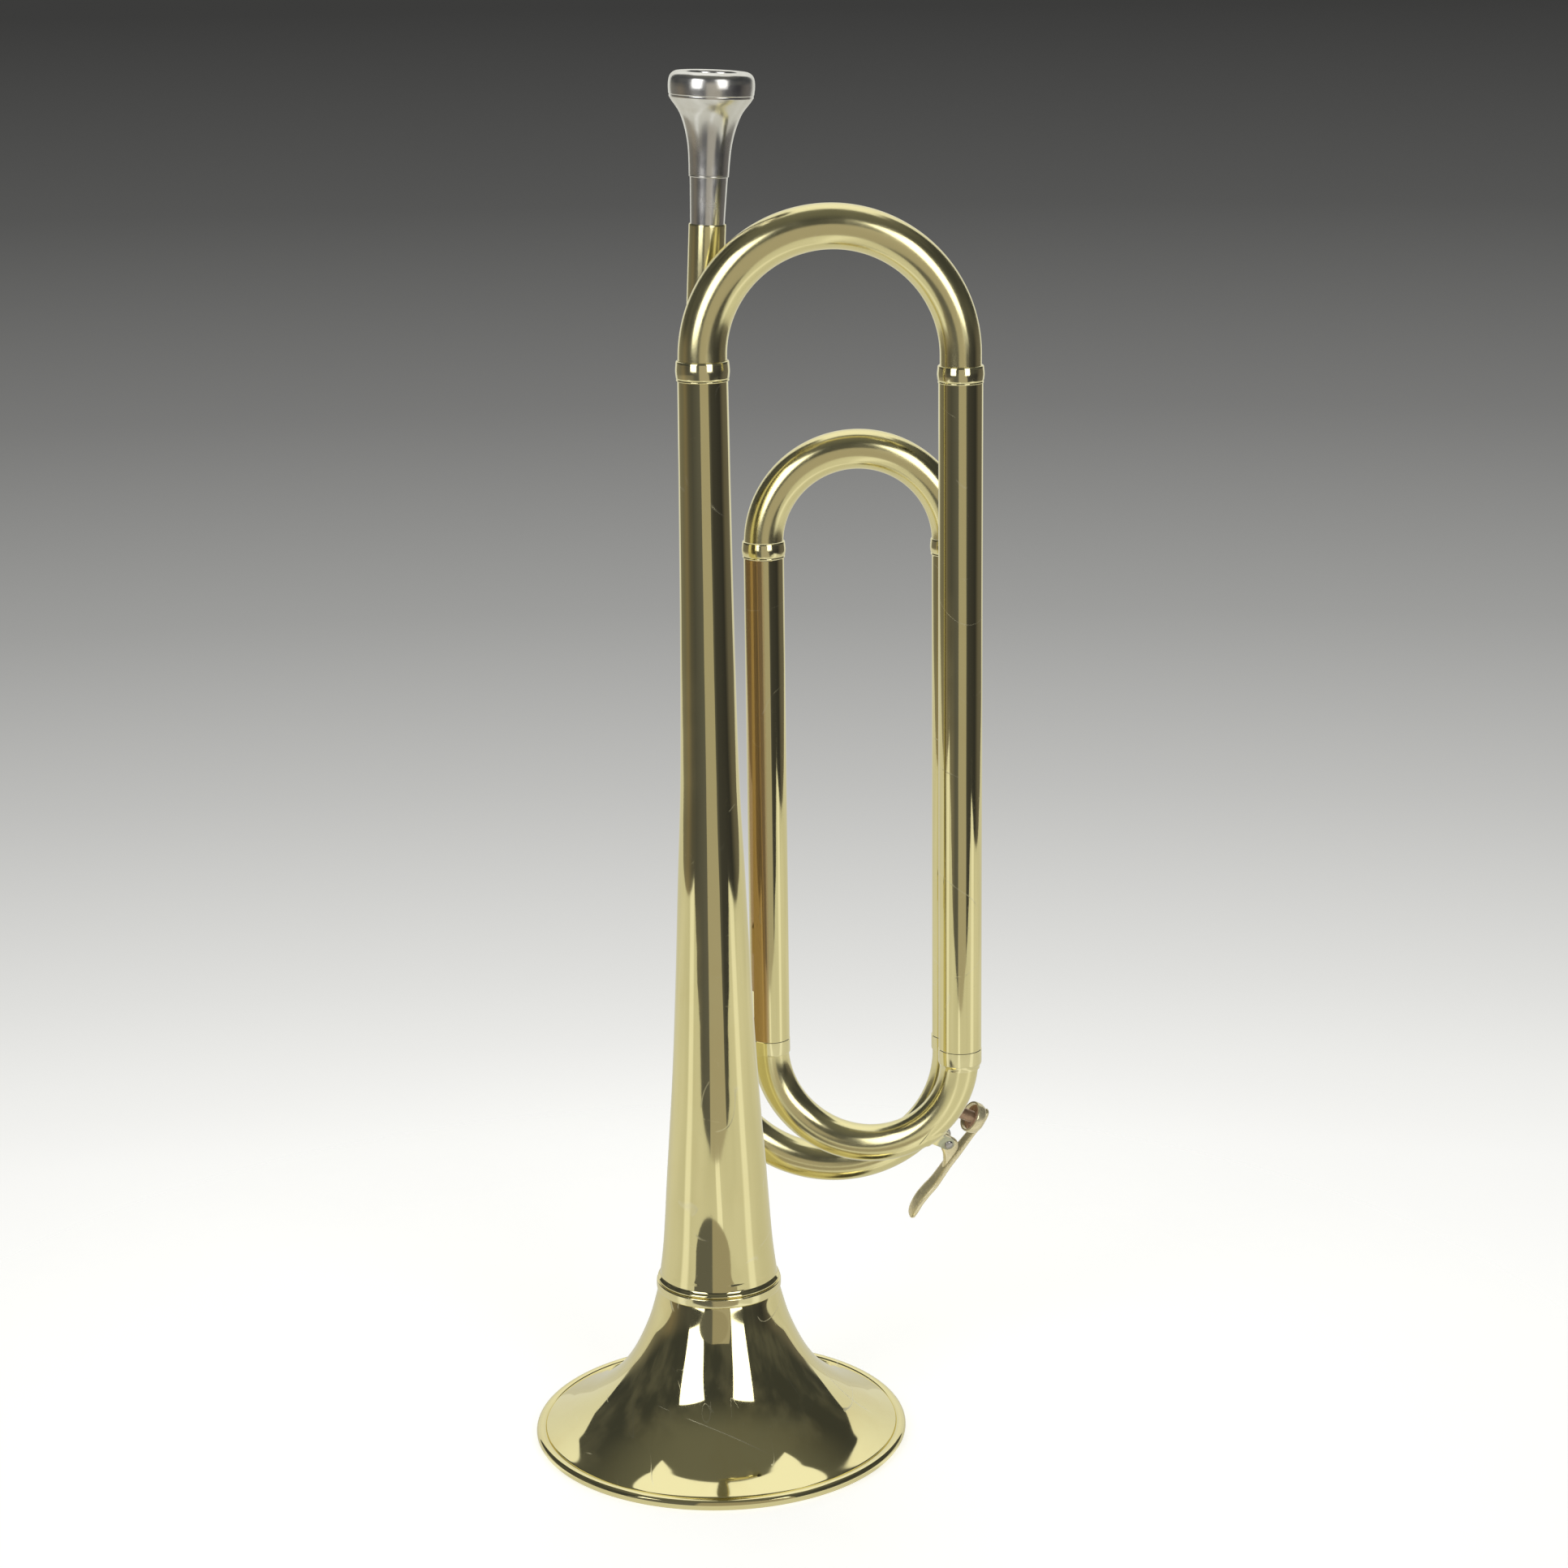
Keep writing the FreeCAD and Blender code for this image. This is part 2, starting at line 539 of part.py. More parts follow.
def build_water_key():
    gap = cell("fit_gap")
    blank = key_cylinder("nipple_blank", cell("nipple_radius"), 3, cell("nipple_top"))
    nipple = cut("nipple_tube", blank, key_cylinder("nipple_hole", cell("nipple_bore"), 2, 12))
    finish_part(cut("nipple", nipple, front_ring("nipple_seat", f"{cell('front_bow_radius')} + {gap}")),
                "water_key_nipple")

    # saddle: a strip lying on the bow and two posts that carry the screw
    posts = []
    for side in (-1, 1):
        near, far = sorted((side * value("post_inside"), side * value("post_outside")))
        round_top = cross_cylinder(f"post_top{side + 1}", cell("post_radius"), near, far)
        width = 2 * value("post_radius")
        post = add("Part::Box", f"post{side + 1}", Length=width, Width=far - near, Height=cell("pivot_out"))
        corner = Vector(value("pivot_along") - value("post_radius"), near, 0)
        post.Placement = KEY.multiply(Placement(corner, Rotation()))
        posts += [round_top, post]
    strip = add("Part::Box", "saddle_strip", Length=7, Width=10.5, Height=10)
    strip.Placement = KEY.multiply(Placement(Vector(value("pivot_along") - 3.5, -5.5, -2.5), Rotation()))
    foot = common("saddle_foot", strip, front_ring("saddle_over", f"{cell('front_bow_radius')} + 0.35"))
    saddle = cut("saddle_seated", fuse("saddle_blank", foot, *posts),
                 front_ring("saddle_seat", f"{cell('front_bow_radius')} + {gap}"))
    screw_hole = cross_cylinder("saddle_hole", f"{cell('screw_radius')} + 0.02", -8, 8)
    finish_part(cut("saddle", saddle, screw_hole), "water_key_saddle")

    head = cross_cylinder("screw_head", cell("screw_head_radius"),
                          f"-{cell('post_outside')} - {cell('screw_head_height')}",
                          f"-{cell('post_outside')}")
    shaft = cross_cylinder("screw_shaft", cell("screw_radius"), f"-{cell('post_outside')} - 0.1",
                           f"{cell('post_outside')} + 0.4")
    finish_part(fuse("screw", head, shaft), "water_key_pivot_screw")

    # lever: straight arm, curved touch, a web down to the hinge barrel, and the cup
    arm = side_prism("key_arm", [
        (-1.5, 15.7), (8.0, 15.5), (21.5, 15.0), (25.5, 15.1), (29.5, 14.7), (34.0, 14.2), (38.5, 14.4),
        (42.5, 15.2), (42.9, 13.9), (39.0, 13.0), (34.0, 12.7), (29.0, 13.2), (25.0, 13.6), (21.5, 13.6),
        (8.0, 14.0), (-1.5, 14.2),
    ], value("arm_half_width"))
    web = side_prism("key_web", [(9.6, 14.4), (9.2, 8.2), (12.2, 6.6), (18.5, 10.9), (23.5, 14.0)],
                     value("web_half_width"))
    barrel = cross_cylinder("key_barrel", cell("barrel_radius"), f"-{cell('barrel_half_length')}",
                            cell("barrel_half_length"))
    cup = cut("key_cup", key_cylinder("cup_blank", cell("cup_radius"), cell("cup_mouth"), cell("cup_back")),
              key_cylinder("cup_hollow", f"{cell('cup_radius')} - {cell('cup_wall')}",
                           f"{cell('cup_mouth')} - 1", f"{cell('cup_back')} - {cell('cup_wall')}"))
    lever = cut("lever", fuse("lever_blank", arm, web, barrel, cup),
                cross_cylinder("barrel_hole", f"{cell('screw_radius')} + {cell('screw_clearance')}", -6, 6))
    finish_part(lever, "water_key_lever")
    finish_part(key_cylinder("cork", f"{cell('cup_radius')} - {cell('cup_wall')} - {gap}", cell("cork_face"),
                             f"{cell('cup_back')} - {cell('cup_wall')} - 0.01"), "water_key_cork")

    # spring: close coils round the barrel beside the web, a leg on the bow and a leg on the arm
    coils = []
    for turn in range(3):
        y = value("web_half_width") + 0.35 + turn * 0.46
        ring = add("Part::Torus", f"spring_coil{turn}", Radius1=cell("spring_coil_radius"),
                   Radius2=cell("spring_wire_radius"))
        centre = Vector(value("pivot_along"), y, value("pivot_out"))
        ring.Placement = KEY.multiply(Placement(centre, Rotation(Vector(0, 0, 1), Vector(0, 1, 0))))
        coils.append(ring)
    start = Vector(value("pivot_along") + 1.6, value("web_half_width") + 0.35, value("pivot_out") + 1.4)
    leg_direction = Vector(6.8, 0, 4.1)
    leg = cylinder("spring_leg", cell("spring_wire_radius"), 7.4,
                   KEY.multiply(Placement(start, Rotation(Vector(0, 0, 1), leg_direction))))
    finish_part(fuse("spring", *coils, leg), "water_key_spring")


# ---------------------------------------------------------------- leadpipe and mouthpiece
def receiver_axis():
    return Vector(value("receiver_lean_x"), value("receiver_lean_y"), 1).normalize()


def receiver_frame():
    """Frame on the receiver's mouth, Z up along its leaning axis."""
    mouth = Vector(value("receiver_mouth_x"), value("receiver_mouth_y"), value("receiver_mouth_z"))
    return Placement(mouth, Rotation(Vector(0, 0, 1), receiver_axis()))


def build_leadpipe():
    """The leadpipe bows gently from the leaning receiver to the rear bottom bow."""
    top = RECEIVER.multVec(Vector(0, 0, -value("receiver_length") + value("receiver_socket") - 0.1))
    bottom = Vector(value("leadpipe_x"), value("leadpipe_y"), value("rear_bow_z") + 3.3)
    down = receiver_axis() * -1
    chord = bottom - top
    sideways = (chord - down * chord.dot(down)).normalize()
    bend_radius = chord.dot(chord) / (2 * chord.dot(sideways))
    centre = top + sideways * bend_radius
    middle = centre + ((top + bottom) / 2 - centre).normalize() * bend_radius
    path = doc.addObject("Part::Feature", "leadpipe_path")
    path.Shape = Part.Arc(top, middle, bottom).toShape()
    solids = []
    for name, inset in (("outside", "0"), ("bore", cell("tube_wall"))):
        section = add("Part::Circle", f"leadpipe_{name}_section",
                      Radius=f"{cell('leadpipe_radius')} - {inset}")
        section.Placement = Placement(top, Rotation(Vector(0, 0, 1), down))
        sweep = doc.addObject("Part::Sweep", f"leadpipe_{name}")
        sweep.Sections = [section]
        sweep.Spine = (path, ["Edge1"])
        sweep.Solid = True
        solids.append(sweep)
    finish_part(cut("leadpipe_tube", *solids), "leadpipe")

    to_top, to_bottom = (top - centre).normalize(), (bottom - centre).normalize()
    lean_end = to_bottom.cross(to_top.cross(to_bottom))
    if lean_end.z < 0:
        lean_end = lean_end * -1
    foot = Placement(bottom, Rotation(Vector(0, 0, 1), lean_end))
    radius, bow = cell("leadpipe_radius"), cell("rear_bow_radius")
    inside = f"{radius} + {cell('fit_gap')}"
    turned_body("leadpipe_ferrule", [
        (f"{bow} + {cell('bow_gap')}", "-2.2"), (f"{bow} + 0.4", "-2.2"), (f"{bow} + 0.4", "1.6"),
        (f"{radius} + 0.5", "3.2"), (inside, "3.2"), (inside, "0.1"),
        (f"{bow} + {cell('bow_gap')}", "0.1"),
    ], foot)


def build_receiver():
    length, socket = cell("receiver_length"), cell("receiver_socket")
    radius = cell("receiver_radius")
    turned_body("mouthpiece_receiver", [
        (f"{cell('shank_mouth_radius')} + 0.02", "0"), (f"{radius} - 0.1", "0"), (radius, "-0.4"),
        (radius, f"-{length} + 0.6"), (f"{radius} - 0.15", f"-{length}"),
        (f"{cell('leadpipe_radius')} + {cell('fit_gap')}", f"-{length}"),
        (f"{cell('leadpipe_radius')} + {cell('fit_gap')}", f"-{length} + {socket}"),
        (f"{cell('shank_end_radius')} + 0.02", f"-{length} + {socket}"),
        (f"{cell('shank_end_radius')} + 0.02", f"-{cell('shank_length')}"),
    ], RECEIVER)


def build_mouthpiece():
    """Rim, skirt, collar and shank outside; cup, throat and backbore inside."""
    shank = value("shank_length")
    mouth_radius, end_radius = value("shank_mouth_radius"), value("shank_end_radius")
    gap = 0.02
    skirt = spline_edges(MOUTHPIECE_SKIRT)
    cup = spline_edges(MOUTHPIECE_CUP)
    rim_band = Part.makeLine(Vector(13.5, 0, 40.0), Vector(13.5, 0, 45.6))
    edges = polyline([
        (4.2, 0, -shank + gap), (end_radius, 0, -shank + gap), (mouth_radius, 0, 0.05), (5.95, 0, 14.6),
        (6.3, 0, 14.9), (6.3, 0, 15.4),
    ])
    edges.append(skirt.toShape())
    edges.append(Part.makeLine(Vector(13.35, 0, 39.2), Vector(13.5, 0, 40.0)))
    edges.append(rim_band)
    edges.append(Part.Arc(Vector(13.5, 0, 45.6), Vector(11.0, 0, 46.9), Vector(8.6, 0, 46.2)).toShape())
    edges.append(cup.toShape())
    edges += polyline([(1.9, 0, 32.5), (1.9, 0, 28.0), (4.2, 0, -shank + gap)])
    mouthpiece = feature("mouthpiece", revolve_wire(edges))
    mouthpiece.Placement = RECEIVER


# ---------------------------------------------------------------- soldered spacers
def spacer(label, first, second, height, rearward=0.0):
    """A small block between two tubes, hollowed to sit on both. Each tube is (x, y, radius)."""
    start, end = Vector(first[0], first[1], 0), Vector(second[0], second[1], 0)
    across = (end - start).normalize()
    half, tall = value("brace_half_width"), value("brace_height")
    depth = first[2] * 0.25
    length = (end - start).Length - first[2] - second[2] + depth + second[2] * 0.25
    block = add("Part::Box", label + "_block", Width=f"2 * {cell('brace_half_width')}",
                Height=cell("brace_height"))
    block.Length = length
    origin = start + across * (first[2] - depth) + Vector(0, 0, height - tall / 2)
    side = Vector(-across.y, across.x, 0)
    turn = Rotation(across, side, Vector(0, 0, 1), "XYZ")
    block.Placement = Placement(origin + side * (rearward - half), turn)
    return block


def build_spacers():
    tall = value("brace_height")
    stem = next(item for item in parts if item.Label == "bell_stem")
    leadpipe = next(item for item in parts if item.Label == "leadpipe")
    curve = Part.Arc(*leadpipe_points())
    for label, height in (("bell_brace_upper", 322.0), ("bell_brace_lower", 165.0)):
        radius = stem_radius(height)
        on_pipe = curve.value(curve.parameter(Vector(0, 18, height)))
        block = spacer(label, (0, 0, radius), (on_pipe.x, on_pipe.y, value("leadpipe_radius")), height)
        inner = doc.addObject("Part::Feature", label + "_stem_side")
        inner.Shape = solid_of_stem(0.02)
        outer = doc.addObject("Part::Feature", label + "_pipe_side")
        outer.Shape = solid_of_leadpipe(0.02)
        finish_part(cut(label + "_cut", cut(label + "_half", block, inner), outer), label)

    height = 147.0
    block = spacer("inner_tube_brace", (0, 0, stem_radius(height)),
                   (value("left_inner_x"), value("left_inner_y"), value("left_inner_radius")), height, 3.0)
    inner = doc.addObject("Part::Feature", "inner_tube_brace_stem_side")
    inner.Shape = solid_of_stem(0.02)
    outer = upright("inner_tube_brace_tube_side", "left_inner", height - tall)
    half = cut("inner_tube_brace_half", block, inner)
    finish_part(cut("inner_tube_brace_cut", half, outer), "inner_tube_brace")

    for label, height in (("right_brace_upper", 272.0), ("right_brace_lower", 160.0)):
        tubes = [(value(name + "_x"), value(name + "_y"), value(name + "_radius")) for name in
                 ("right_outer", "right_inner")]
        block = spacer(label, *tubes, height)
        near = upright(label + "_near", "right_outer", height - tall)
        far = upright(label + "_far", "right_inner", height - tall)
        finish_part(cut(label + "_cut", cut(label + "_half", block, near), far), label)


def upright(name, tube, low):
    """A solid cylinder a hair wider than a straight tube, to hollow a spacer that sits on it."""
    place = Placement(Vector(value(tube + "_x"), value(tube + "_y"), low), Rotation())
    return cylinder(name, f"{cell(tube + '_radius')} + 0.02", "2 * " + cell("brace_height"), place)


def stem_radius(height):
    pairs = list(zip(STEM_PROFILE, STEM_PROFILE[1:]))
    around = next(pair for pair in pairs if pair[0][0] <= height <= pair[1][0])
    (low, low_radius), (high, high_radius) = around
    return low_radius + (high_radius - low_radius) * (height - low) / (high - low)


def solid_of_stem(gap):
    """The bell stem as a full solid, a hair wider than the piece."""
    outside = spline_edges(STEM_PROFILE, -gap)
    low, high = STEM_PROFILE[0], STEM_PROFILE[-1]
    return revolve_wire([
        Part.makeLine(Vector(0, 0, low[0]), Vector(low[1] + gap, 0, low[0])), outside.toShape(),
        Part.makeLine(Vector(high[1] + gap, 0, high[0]), Vector(0, 0, high[0])),
        Part.makeLine(Vector(0, 0, high[0]), Vector(0, 0, low[0])),
    ])


def leadpipe_points():
    path = doc.getObject("leadpipe_path").Shape.Edges[0]
    first, last = path.FirstParameter, path.LastParameter
    return [path.valueAt(first + (last - first) * share) for share in (0, 0.5, 1)]


def solid_of_leadpipe(gap):
    """The leadpipe as a full solid, a hair wider than the piece."""
    points = leadpipe_points()
    path = Part.Wire([Part.Arc(*points).toShape()])
    start = path.Edges[0]
    section = Part.Wire([Part.makeCircle(value("leadpipe_radius") + gap, start.valueAt(start.FirstParameter),
                                         start.tangentAt(start.FirstParameter))])
    return path.makePipeShell([section], True, False)


def check_and_write():
    """Stop on any failed object or shape, then write each piece to its own file."""
    for item in doc.Objects:
        if "Invalid" in item.State or "Error" in item.State:
            raise RuntimeError(f"{item.Name} failed: {item.State}")
    os.makedirs("parts", exist_ok=True)
    for item in parts:
        shape = item.Shape
        if shape.isNull() or not shape.isValid():
            raise RuntimeError(f"{item.Label} has no valid shape")
        shape.exportStep(f"parts/{item.Label}.step")
        print(f"{item.Label:28s} solids {len(shape.Solids)} volume {shape.Volume:10.2f} mm3")


KEY = key_frame()
RECEIVER = receiver_frame()
build_bell()
build_loops()
build_large_bow()
build_tuning_slide()
build_front_bow()
build_water_key()
build_leadpipe()
build_receiver()
build_mouthpiece()
doc.recompute()
build_spacers()
doc.recompute()
check_and_write()
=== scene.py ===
"""A brass bugle standing on its bell in front of a plain sweep.

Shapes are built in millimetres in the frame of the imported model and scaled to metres.
"""
import json
import math

import bmesh
import bpy
from mathutils import Matrix, Vector

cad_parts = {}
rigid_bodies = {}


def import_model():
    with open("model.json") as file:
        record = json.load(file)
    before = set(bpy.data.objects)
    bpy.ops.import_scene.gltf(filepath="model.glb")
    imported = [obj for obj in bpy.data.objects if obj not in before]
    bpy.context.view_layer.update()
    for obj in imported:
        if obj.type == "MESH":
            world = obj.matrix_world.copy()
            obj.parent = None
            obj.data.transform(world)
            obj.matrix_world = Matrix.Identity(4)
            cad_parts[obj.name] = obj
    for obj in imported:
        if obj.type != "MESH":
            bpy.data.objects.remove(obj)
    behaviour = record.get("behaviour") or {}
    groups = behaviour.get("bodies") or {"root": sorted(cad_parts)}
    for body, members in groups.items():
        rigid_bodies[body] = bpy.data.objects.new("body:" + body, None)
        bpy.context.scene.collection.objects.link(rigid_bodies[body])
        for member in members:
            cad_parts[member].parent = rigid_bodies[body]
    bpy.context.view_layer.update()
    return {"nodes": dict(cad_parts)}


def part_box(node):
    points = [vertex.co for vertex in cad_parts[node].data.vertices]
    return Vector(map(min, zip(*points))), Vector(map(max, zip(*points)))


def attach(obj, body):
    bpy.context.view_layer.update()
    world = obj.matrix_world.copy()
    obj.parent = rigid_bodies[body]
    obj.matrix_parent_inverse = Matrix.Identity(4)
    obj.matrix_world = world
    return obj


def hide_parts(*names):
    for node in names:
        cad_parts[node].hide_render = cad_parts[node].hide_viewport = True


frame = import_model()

MM = 0.001
TURN = 2 * math.pi

# the metal colours, and the walls of the tubes in millimetres
BRASS_CLEAN = (0.84, 0.765, 0.42)
BRASS_DEEP = (0.76, 0.64, 0.30)
BRASS_BRIGHT = (0.86, 0.79, 0.46)
# painted reflection: the brown of the bell's brass stem as mirrored in the left inner tube, painted into its
# colour
BRASS_STEM_REFLECTION = (0.50, 0.29, 0.10)
BRASS_STAINED = (0.42, 0.33, 0.18)
BRASS_WORN = (0.93, 0.90, 0.80)
BRASS_SCRATCHED = (0.95, 0.92, 0.76)
BRASS_WALL = 0.5
LEG_WALL = 0.42

# the reflections show the pale sweep behind the horn in this colour
PALE_SWEEP = (0.78, 0.78, 0.72)

CAMERA_PLACE = (0.01629, -1.06596, 0.50560)
CAMERA_PAN = math.radians(-0.403)
CAMERA_TILT = math.radians(90 - 14.768)
CAMERA_ROLL = math.radians(-0.705)


# ------------------------------------------------------------------ shader helpers
def blank_material(name):
    """A material whose node tree holds only its output."""
    material = bpy.data.materials.new(name)
    material.use_nodes = True
    tree = material.node_tree
    tree.nodes.clear()
    return material, tree, tree.nodes.new("ShaderNodeOutputMaterial")


def new_material(name):
    material, tree, output = blank_material(name)
    shader = tree.nodes.new("ShaderNodeBsdfPrincipled")
    tree.links.new(shader.outputs["BSDF"], output.inputs["Surface"])
    return material, tree, shader


def node(tree, kind, **inputs):
    """Add a node. A keyword is an input socket's name, n0 or n1 for an input by number, or a property."""
    item = tree.nodes.new(kind)
    for key, value in inputs.items():
        socket = key.replace("_", " ")
        if socket in item.inputs:
            target = item.inputs[socket]
        elif key[1:].isdigit():
            target = item.inputs[int(key[1:])]
        else:
            setattr(item, key, value)
            continue
        if isinstance(value, bpy.types.NodeSocket):
            tree.links.new(value, target)
        else:
            target.default_value = value
    return item


def math_node(tree, operation, *values, clamp=False):
    item = tree.nodes.new("ShaderNodeMath")
    item.operation = operation
    item.use_clamp = clamp
    for index, value in enumerate(values):
        if isinstance(value, bpy.types.NodeSocket):
            tree.links.new(value, item.inputs[index])
        else:
            item.inputs[index].default_value = value
    return item.outputs[0]


def times(tree, first, second):
    return math_node(tree, "MULTIPLY", first, second)


def minus(tree, first, second):
    return math_node(tree, "SUBTRACT", first, second)


def plus(tree, first, second, clamp=False):
    return math_node(tree, "ADD", first, second, clamp=clamp)


def remap(tree, value, low, high, to_low=0.0, to_high=1.0):
    """Smoothly map a value from one range to another, clamped."""
    item = tree.nodes.new("ShaderNodeMapRange")
    item.interpolation_type = "SMOOTHSTEP"
    tree.links.new(value, item.inputs["Value"])
    limits = {"From Min": low, "From Max": high, "To Min": to_low, "To Max": to_high}
    for socket, number in limits.items():
        item.inputs[socket].default_value = number
    return item.outputs["Result"]


def mix_color(tree, factor, first, second, blend="MIX"):
    item = tree.nodes.new("ShaderNodeMix")
    item.data_type = "RGBA"
    item.blend_type = blend
    for socket, value in ((item.inputs[0], factor), (item.inputs[6], first), (item.inputs[7], second)):
        if isinstance(value, bpy.types.NodeSocket):
            tree.links.new(value, socket)
        elif isinstance(value, (int, float)):
            socket.default_value = value
        else:
            socket.default_value = (*value, 1.0)
    return item.outputs[2]


def noise(tree, coordinates, scale, detail=2.0, roughness=0.5, distortion=0.0):
    item = node(tree, "ShaderNodeTexNoise", Vector=coordinates, Scale=scale, Detail=detail,
                Roughness=roughness, Distortion=distortion)
    return item.outputs[0]


def bump(tree, height, distance, strength=1.0, below=None):
    item = node(tree, "ShaderNodeBump", Strength=strength, Distance=distance, Height=height)
    if below is not None:
        tree.links.new(below, item.inputs["Normal"])
    return item.outputs[0]


def object_coordinates(tree, scale=(1, 1, 1), rotation=(0, 0, 0)):
    texture = tree.nodes.new("ShaderNodeTexCoord")
    mapping = node(tree, "ShaderNodeMapping", Vector=texture.outputs["Object"])
    mapping.inputs["Scale"].default_value = scale
    mapping.inputs["Rotation"].default_value = rotation
    return mapping.outputs[0]


def scratches(tree, scale, width, rotation, cover):
    """Thin broken lines, 0 to 1: the level lines of a noise stretched one way, kept only in patches."""
    stretch = (1.0, 1.0, 0.14)
    stretched = node(tree, "ShaderNodeMapping", Vector=object_coordinates(tree, rotation=rotation))
    stretched.inputs["Scale"].default_value = stretch
    place = stretched.outputs[0]
    level = math_node(tree, "ABSOLUTE", minus(tree, noise(tree, place, scale, 1.0, 0.4), 0.5))
    line = remap(tree, level, 0.0, width, 1.0, 0.0)
    patch = remap(tree, noise(tree, place, scale * 1.7, 2.0), 1.0 - cover, 1.03 - cover)
    return times(tree, line, patch)


def brass_material(name, clean, deep, roughness, wave=1.0, wear=1.0, stem_reflection=0.0):
    """Lacquered brass: deeper colour in patches, small stains, worn specks, scratches and slight ripples.

    With a stem reflection share, the side that faces the bell is painted brown that far: a painted reflection
    of the bell's brass stem in the tube, where the metal is also made less metallic so that the painted
    colour takes diffuse light.
    """
    material, tree, shader = new_material(name)
    place = object_coordinates(tree)
    patches = remap(tree, noise(tree, place, 38.0, 4.0, 0.6, 0.4), 0.45, 0.8, 0.0, 0.5 * wear)
    stains = remap(tree, noise(tree, place, 240.0, 5.0, 0.7), 0.68, 0.8, 0.0, 0.4 * wear)
    specks = remap(tree, noise(tree, place, 520.0, 3.0, 0.6), 0.72, 0.78, 0.0, 0.7 * wear)
    speck_zone = remap(tree, noise(tree, place, 22.0, 2.0), 0.5, 0.62)
    specks = times(tree, specks, speck_zone)
    long_lines = scratches(tree, 28.0, 0.0038, (0.5, 0.9, 0.2), 0.40 + 0.06 * wear)
    cross_lines = scratches(tree, 34.0, 0.0042, (1.2, 0.1, 0.9), 0.40 + 0.06 * wear)
    fine_lines = scratches(tree, 130.0, 0.006, (1.1, 0.2, 0.7), 0.42)
    lines = math_node(tree, "MAXIMUM", long_lines, times(tree, cross_lines, 0.8))
    lines = math_node(tree, "MAXIMUM", lines, times(tree, fine_lines, 0.4))
    lines = times(tree, lines, wear)

    color = mix_color(tree, patches, clean, deep)
    shader.inputs["Metallic"].default_value = 1.0
    if stem_reflection:
        # painted reflection: normals turned towards -X, the bell's side, get the brown of the stem's mirrored
        # image, and lose metallic there
        normal = tree.nodes.new("ShaderNodeTexCoord").outputs["Normal"]
        facing = node(tree, "ShaderNodeSeparateXYZ", Vector=normal).outputs[0]
        stem_reflection_mask = times(tree, remap(tree, facing, 0.05, -0.2, 0.0, stem_reflection), remap(tree, facing, -0.97, -0.85))
        tree.links.new(minus(tree, 1.0, times(tree, stem_reflection_mask, 0.5)), shader.inputs["Metallic"])
        color = mix_color(tree, stem_reflection_mask, color, BRASS_STEM_REFLECTION)
    color = mix_color(tree, stains, color, BRASS_STAINED)
    color = mix_color(tree, specks, color, BRASS_WORN)
    color = mix_color(tree, times(tree, lines, 0.6), color, BRASS_SCRATCHED)
    tree.links.new(color, shader.inputs["Base Color"])

    haze = remap(tree, noise(tree, place, 70.0, 5.0, 0.65), 0.35, 0.8, roughness * 0.85, roughness * 1.25)
    rough = plus(tree, haze, times(tree, lines, 0.4))
    rough = plus(tree, rough, times(tree, stains, 0.25), clamp=True)
    tree.links.new(rough, shader.inputs["Roughness"])

    ripple = bump(tree, noise(tree, place, 30.0, 1.0, 0.3), 0.0006 * wave, 0.4)
    dents = bump(tree, noise(tree, place, 110.0, 1.0, 0.3), 0.00003 * wave, 0.5, ripple)
    cut = bump(tree, lines, -0.00001, 0.6, dents)
    tree.links.new(cut, shader.inputs["Normal"])
    return material


def silver_material():
    """Silver plate: soft gloss, fine turning lines, thin yellow-grey tarnish."""
    material, tree, shader = new_material("silver_plate")
    place = object_coordinates(tree)
    turned = object_coordinates(tree, scale=(1.0, 1.0, 20.0))
    tarnish = remap(tree, noise(tree, place, 90.0, 5.0, 0.65), 0.45, 0.8, 0.0, 0.5)
    color = mix_color(tree, tarnish, (0.78, 0.77, 0.74), (0.60, 0.56, 0.48))
    spots = remap(tree, noise(tree, place, 480.0, 3.0), 0.7, 0.78, 0.0, 0.5)
    color = mix_color(tree, spots, color, (0.34, 0.31, 0.27))
    tree.links.new(color, shader.inputs["Base Color"])
    rough = remap(tree, noise(tree, place, 150.0, 4.0), 0.3, 0.8, 0.19, 0.29)
    tree.links.new(rough, shader.inputs["Roughness"])
    shader.inputs["Metallic"].default_value = 1.0
    lines = bump(tree, noise(tree, turned, 30.0, 2.0), 0.000003, 0.3)
    marks = bump(tree, scratches(tree, 160.0, 0.012, (0.4, 0.8, 0.1), 0.35), -0.00001, 0.4, lines)
    tree.links.new(marks, shader.inputs["Normal"])
    return material


def worn_metal(name, clean, deep, roughness, metallic=1.0, centre=None, reach=0.0):
    """Satin metal of small fittings: deeper tone in random patches, tiny pits.

    Where a centre is given, what lies beyond the reach from it is brass, as at a soldered foot.
    """
    material, tree, shader = new_material(name)
    place = object_coordinates(tree)
    patches = remap(tree, noise(tree, place, 210.0, 5.0, 0.6), 0.4, 0.7)
    color = mix_color(tree, patches, clean, deep)
    if centre:
        away = node(tree, "ShaderNodeVectorMath", operation="DISTANCE", n0=place, n1=centre)
        beyond = remap(tree, away.outputs["Value"], reach, reach * 1.15)
        color = mix_color(tree, beyond, color, BRASS_CLEAN)
    pits = remap(tree, noise(tree, place, 1300.0, 3.0), 0.70, 0.78, 0.0, 0.3)
    color = mix_color(tree, pits, color, (0.16, 0.13, 0.09))
    tree.links.new(color, shader.inputs["Base Color"])
    rough = remap(tree, noise(tree, place, 420.0, 4.0), 0.3, 0.75, roughness * 0.7, roughness * 1.5)
    tree.links.new(rough, shader.inputs["Roughness"])
    shader.inputs["Metallic"].default_value = metallic
    soft = bump(tree, noise(tree, place, 200.0, 2.0), 0.00005, 0.5)
    fine = bump(tree, noise(tree, place, 1800.0, 2.0), 0.000004, 0.6, soft)
    tree.links.new(fine, shader.inputs["Normal"])
    return material


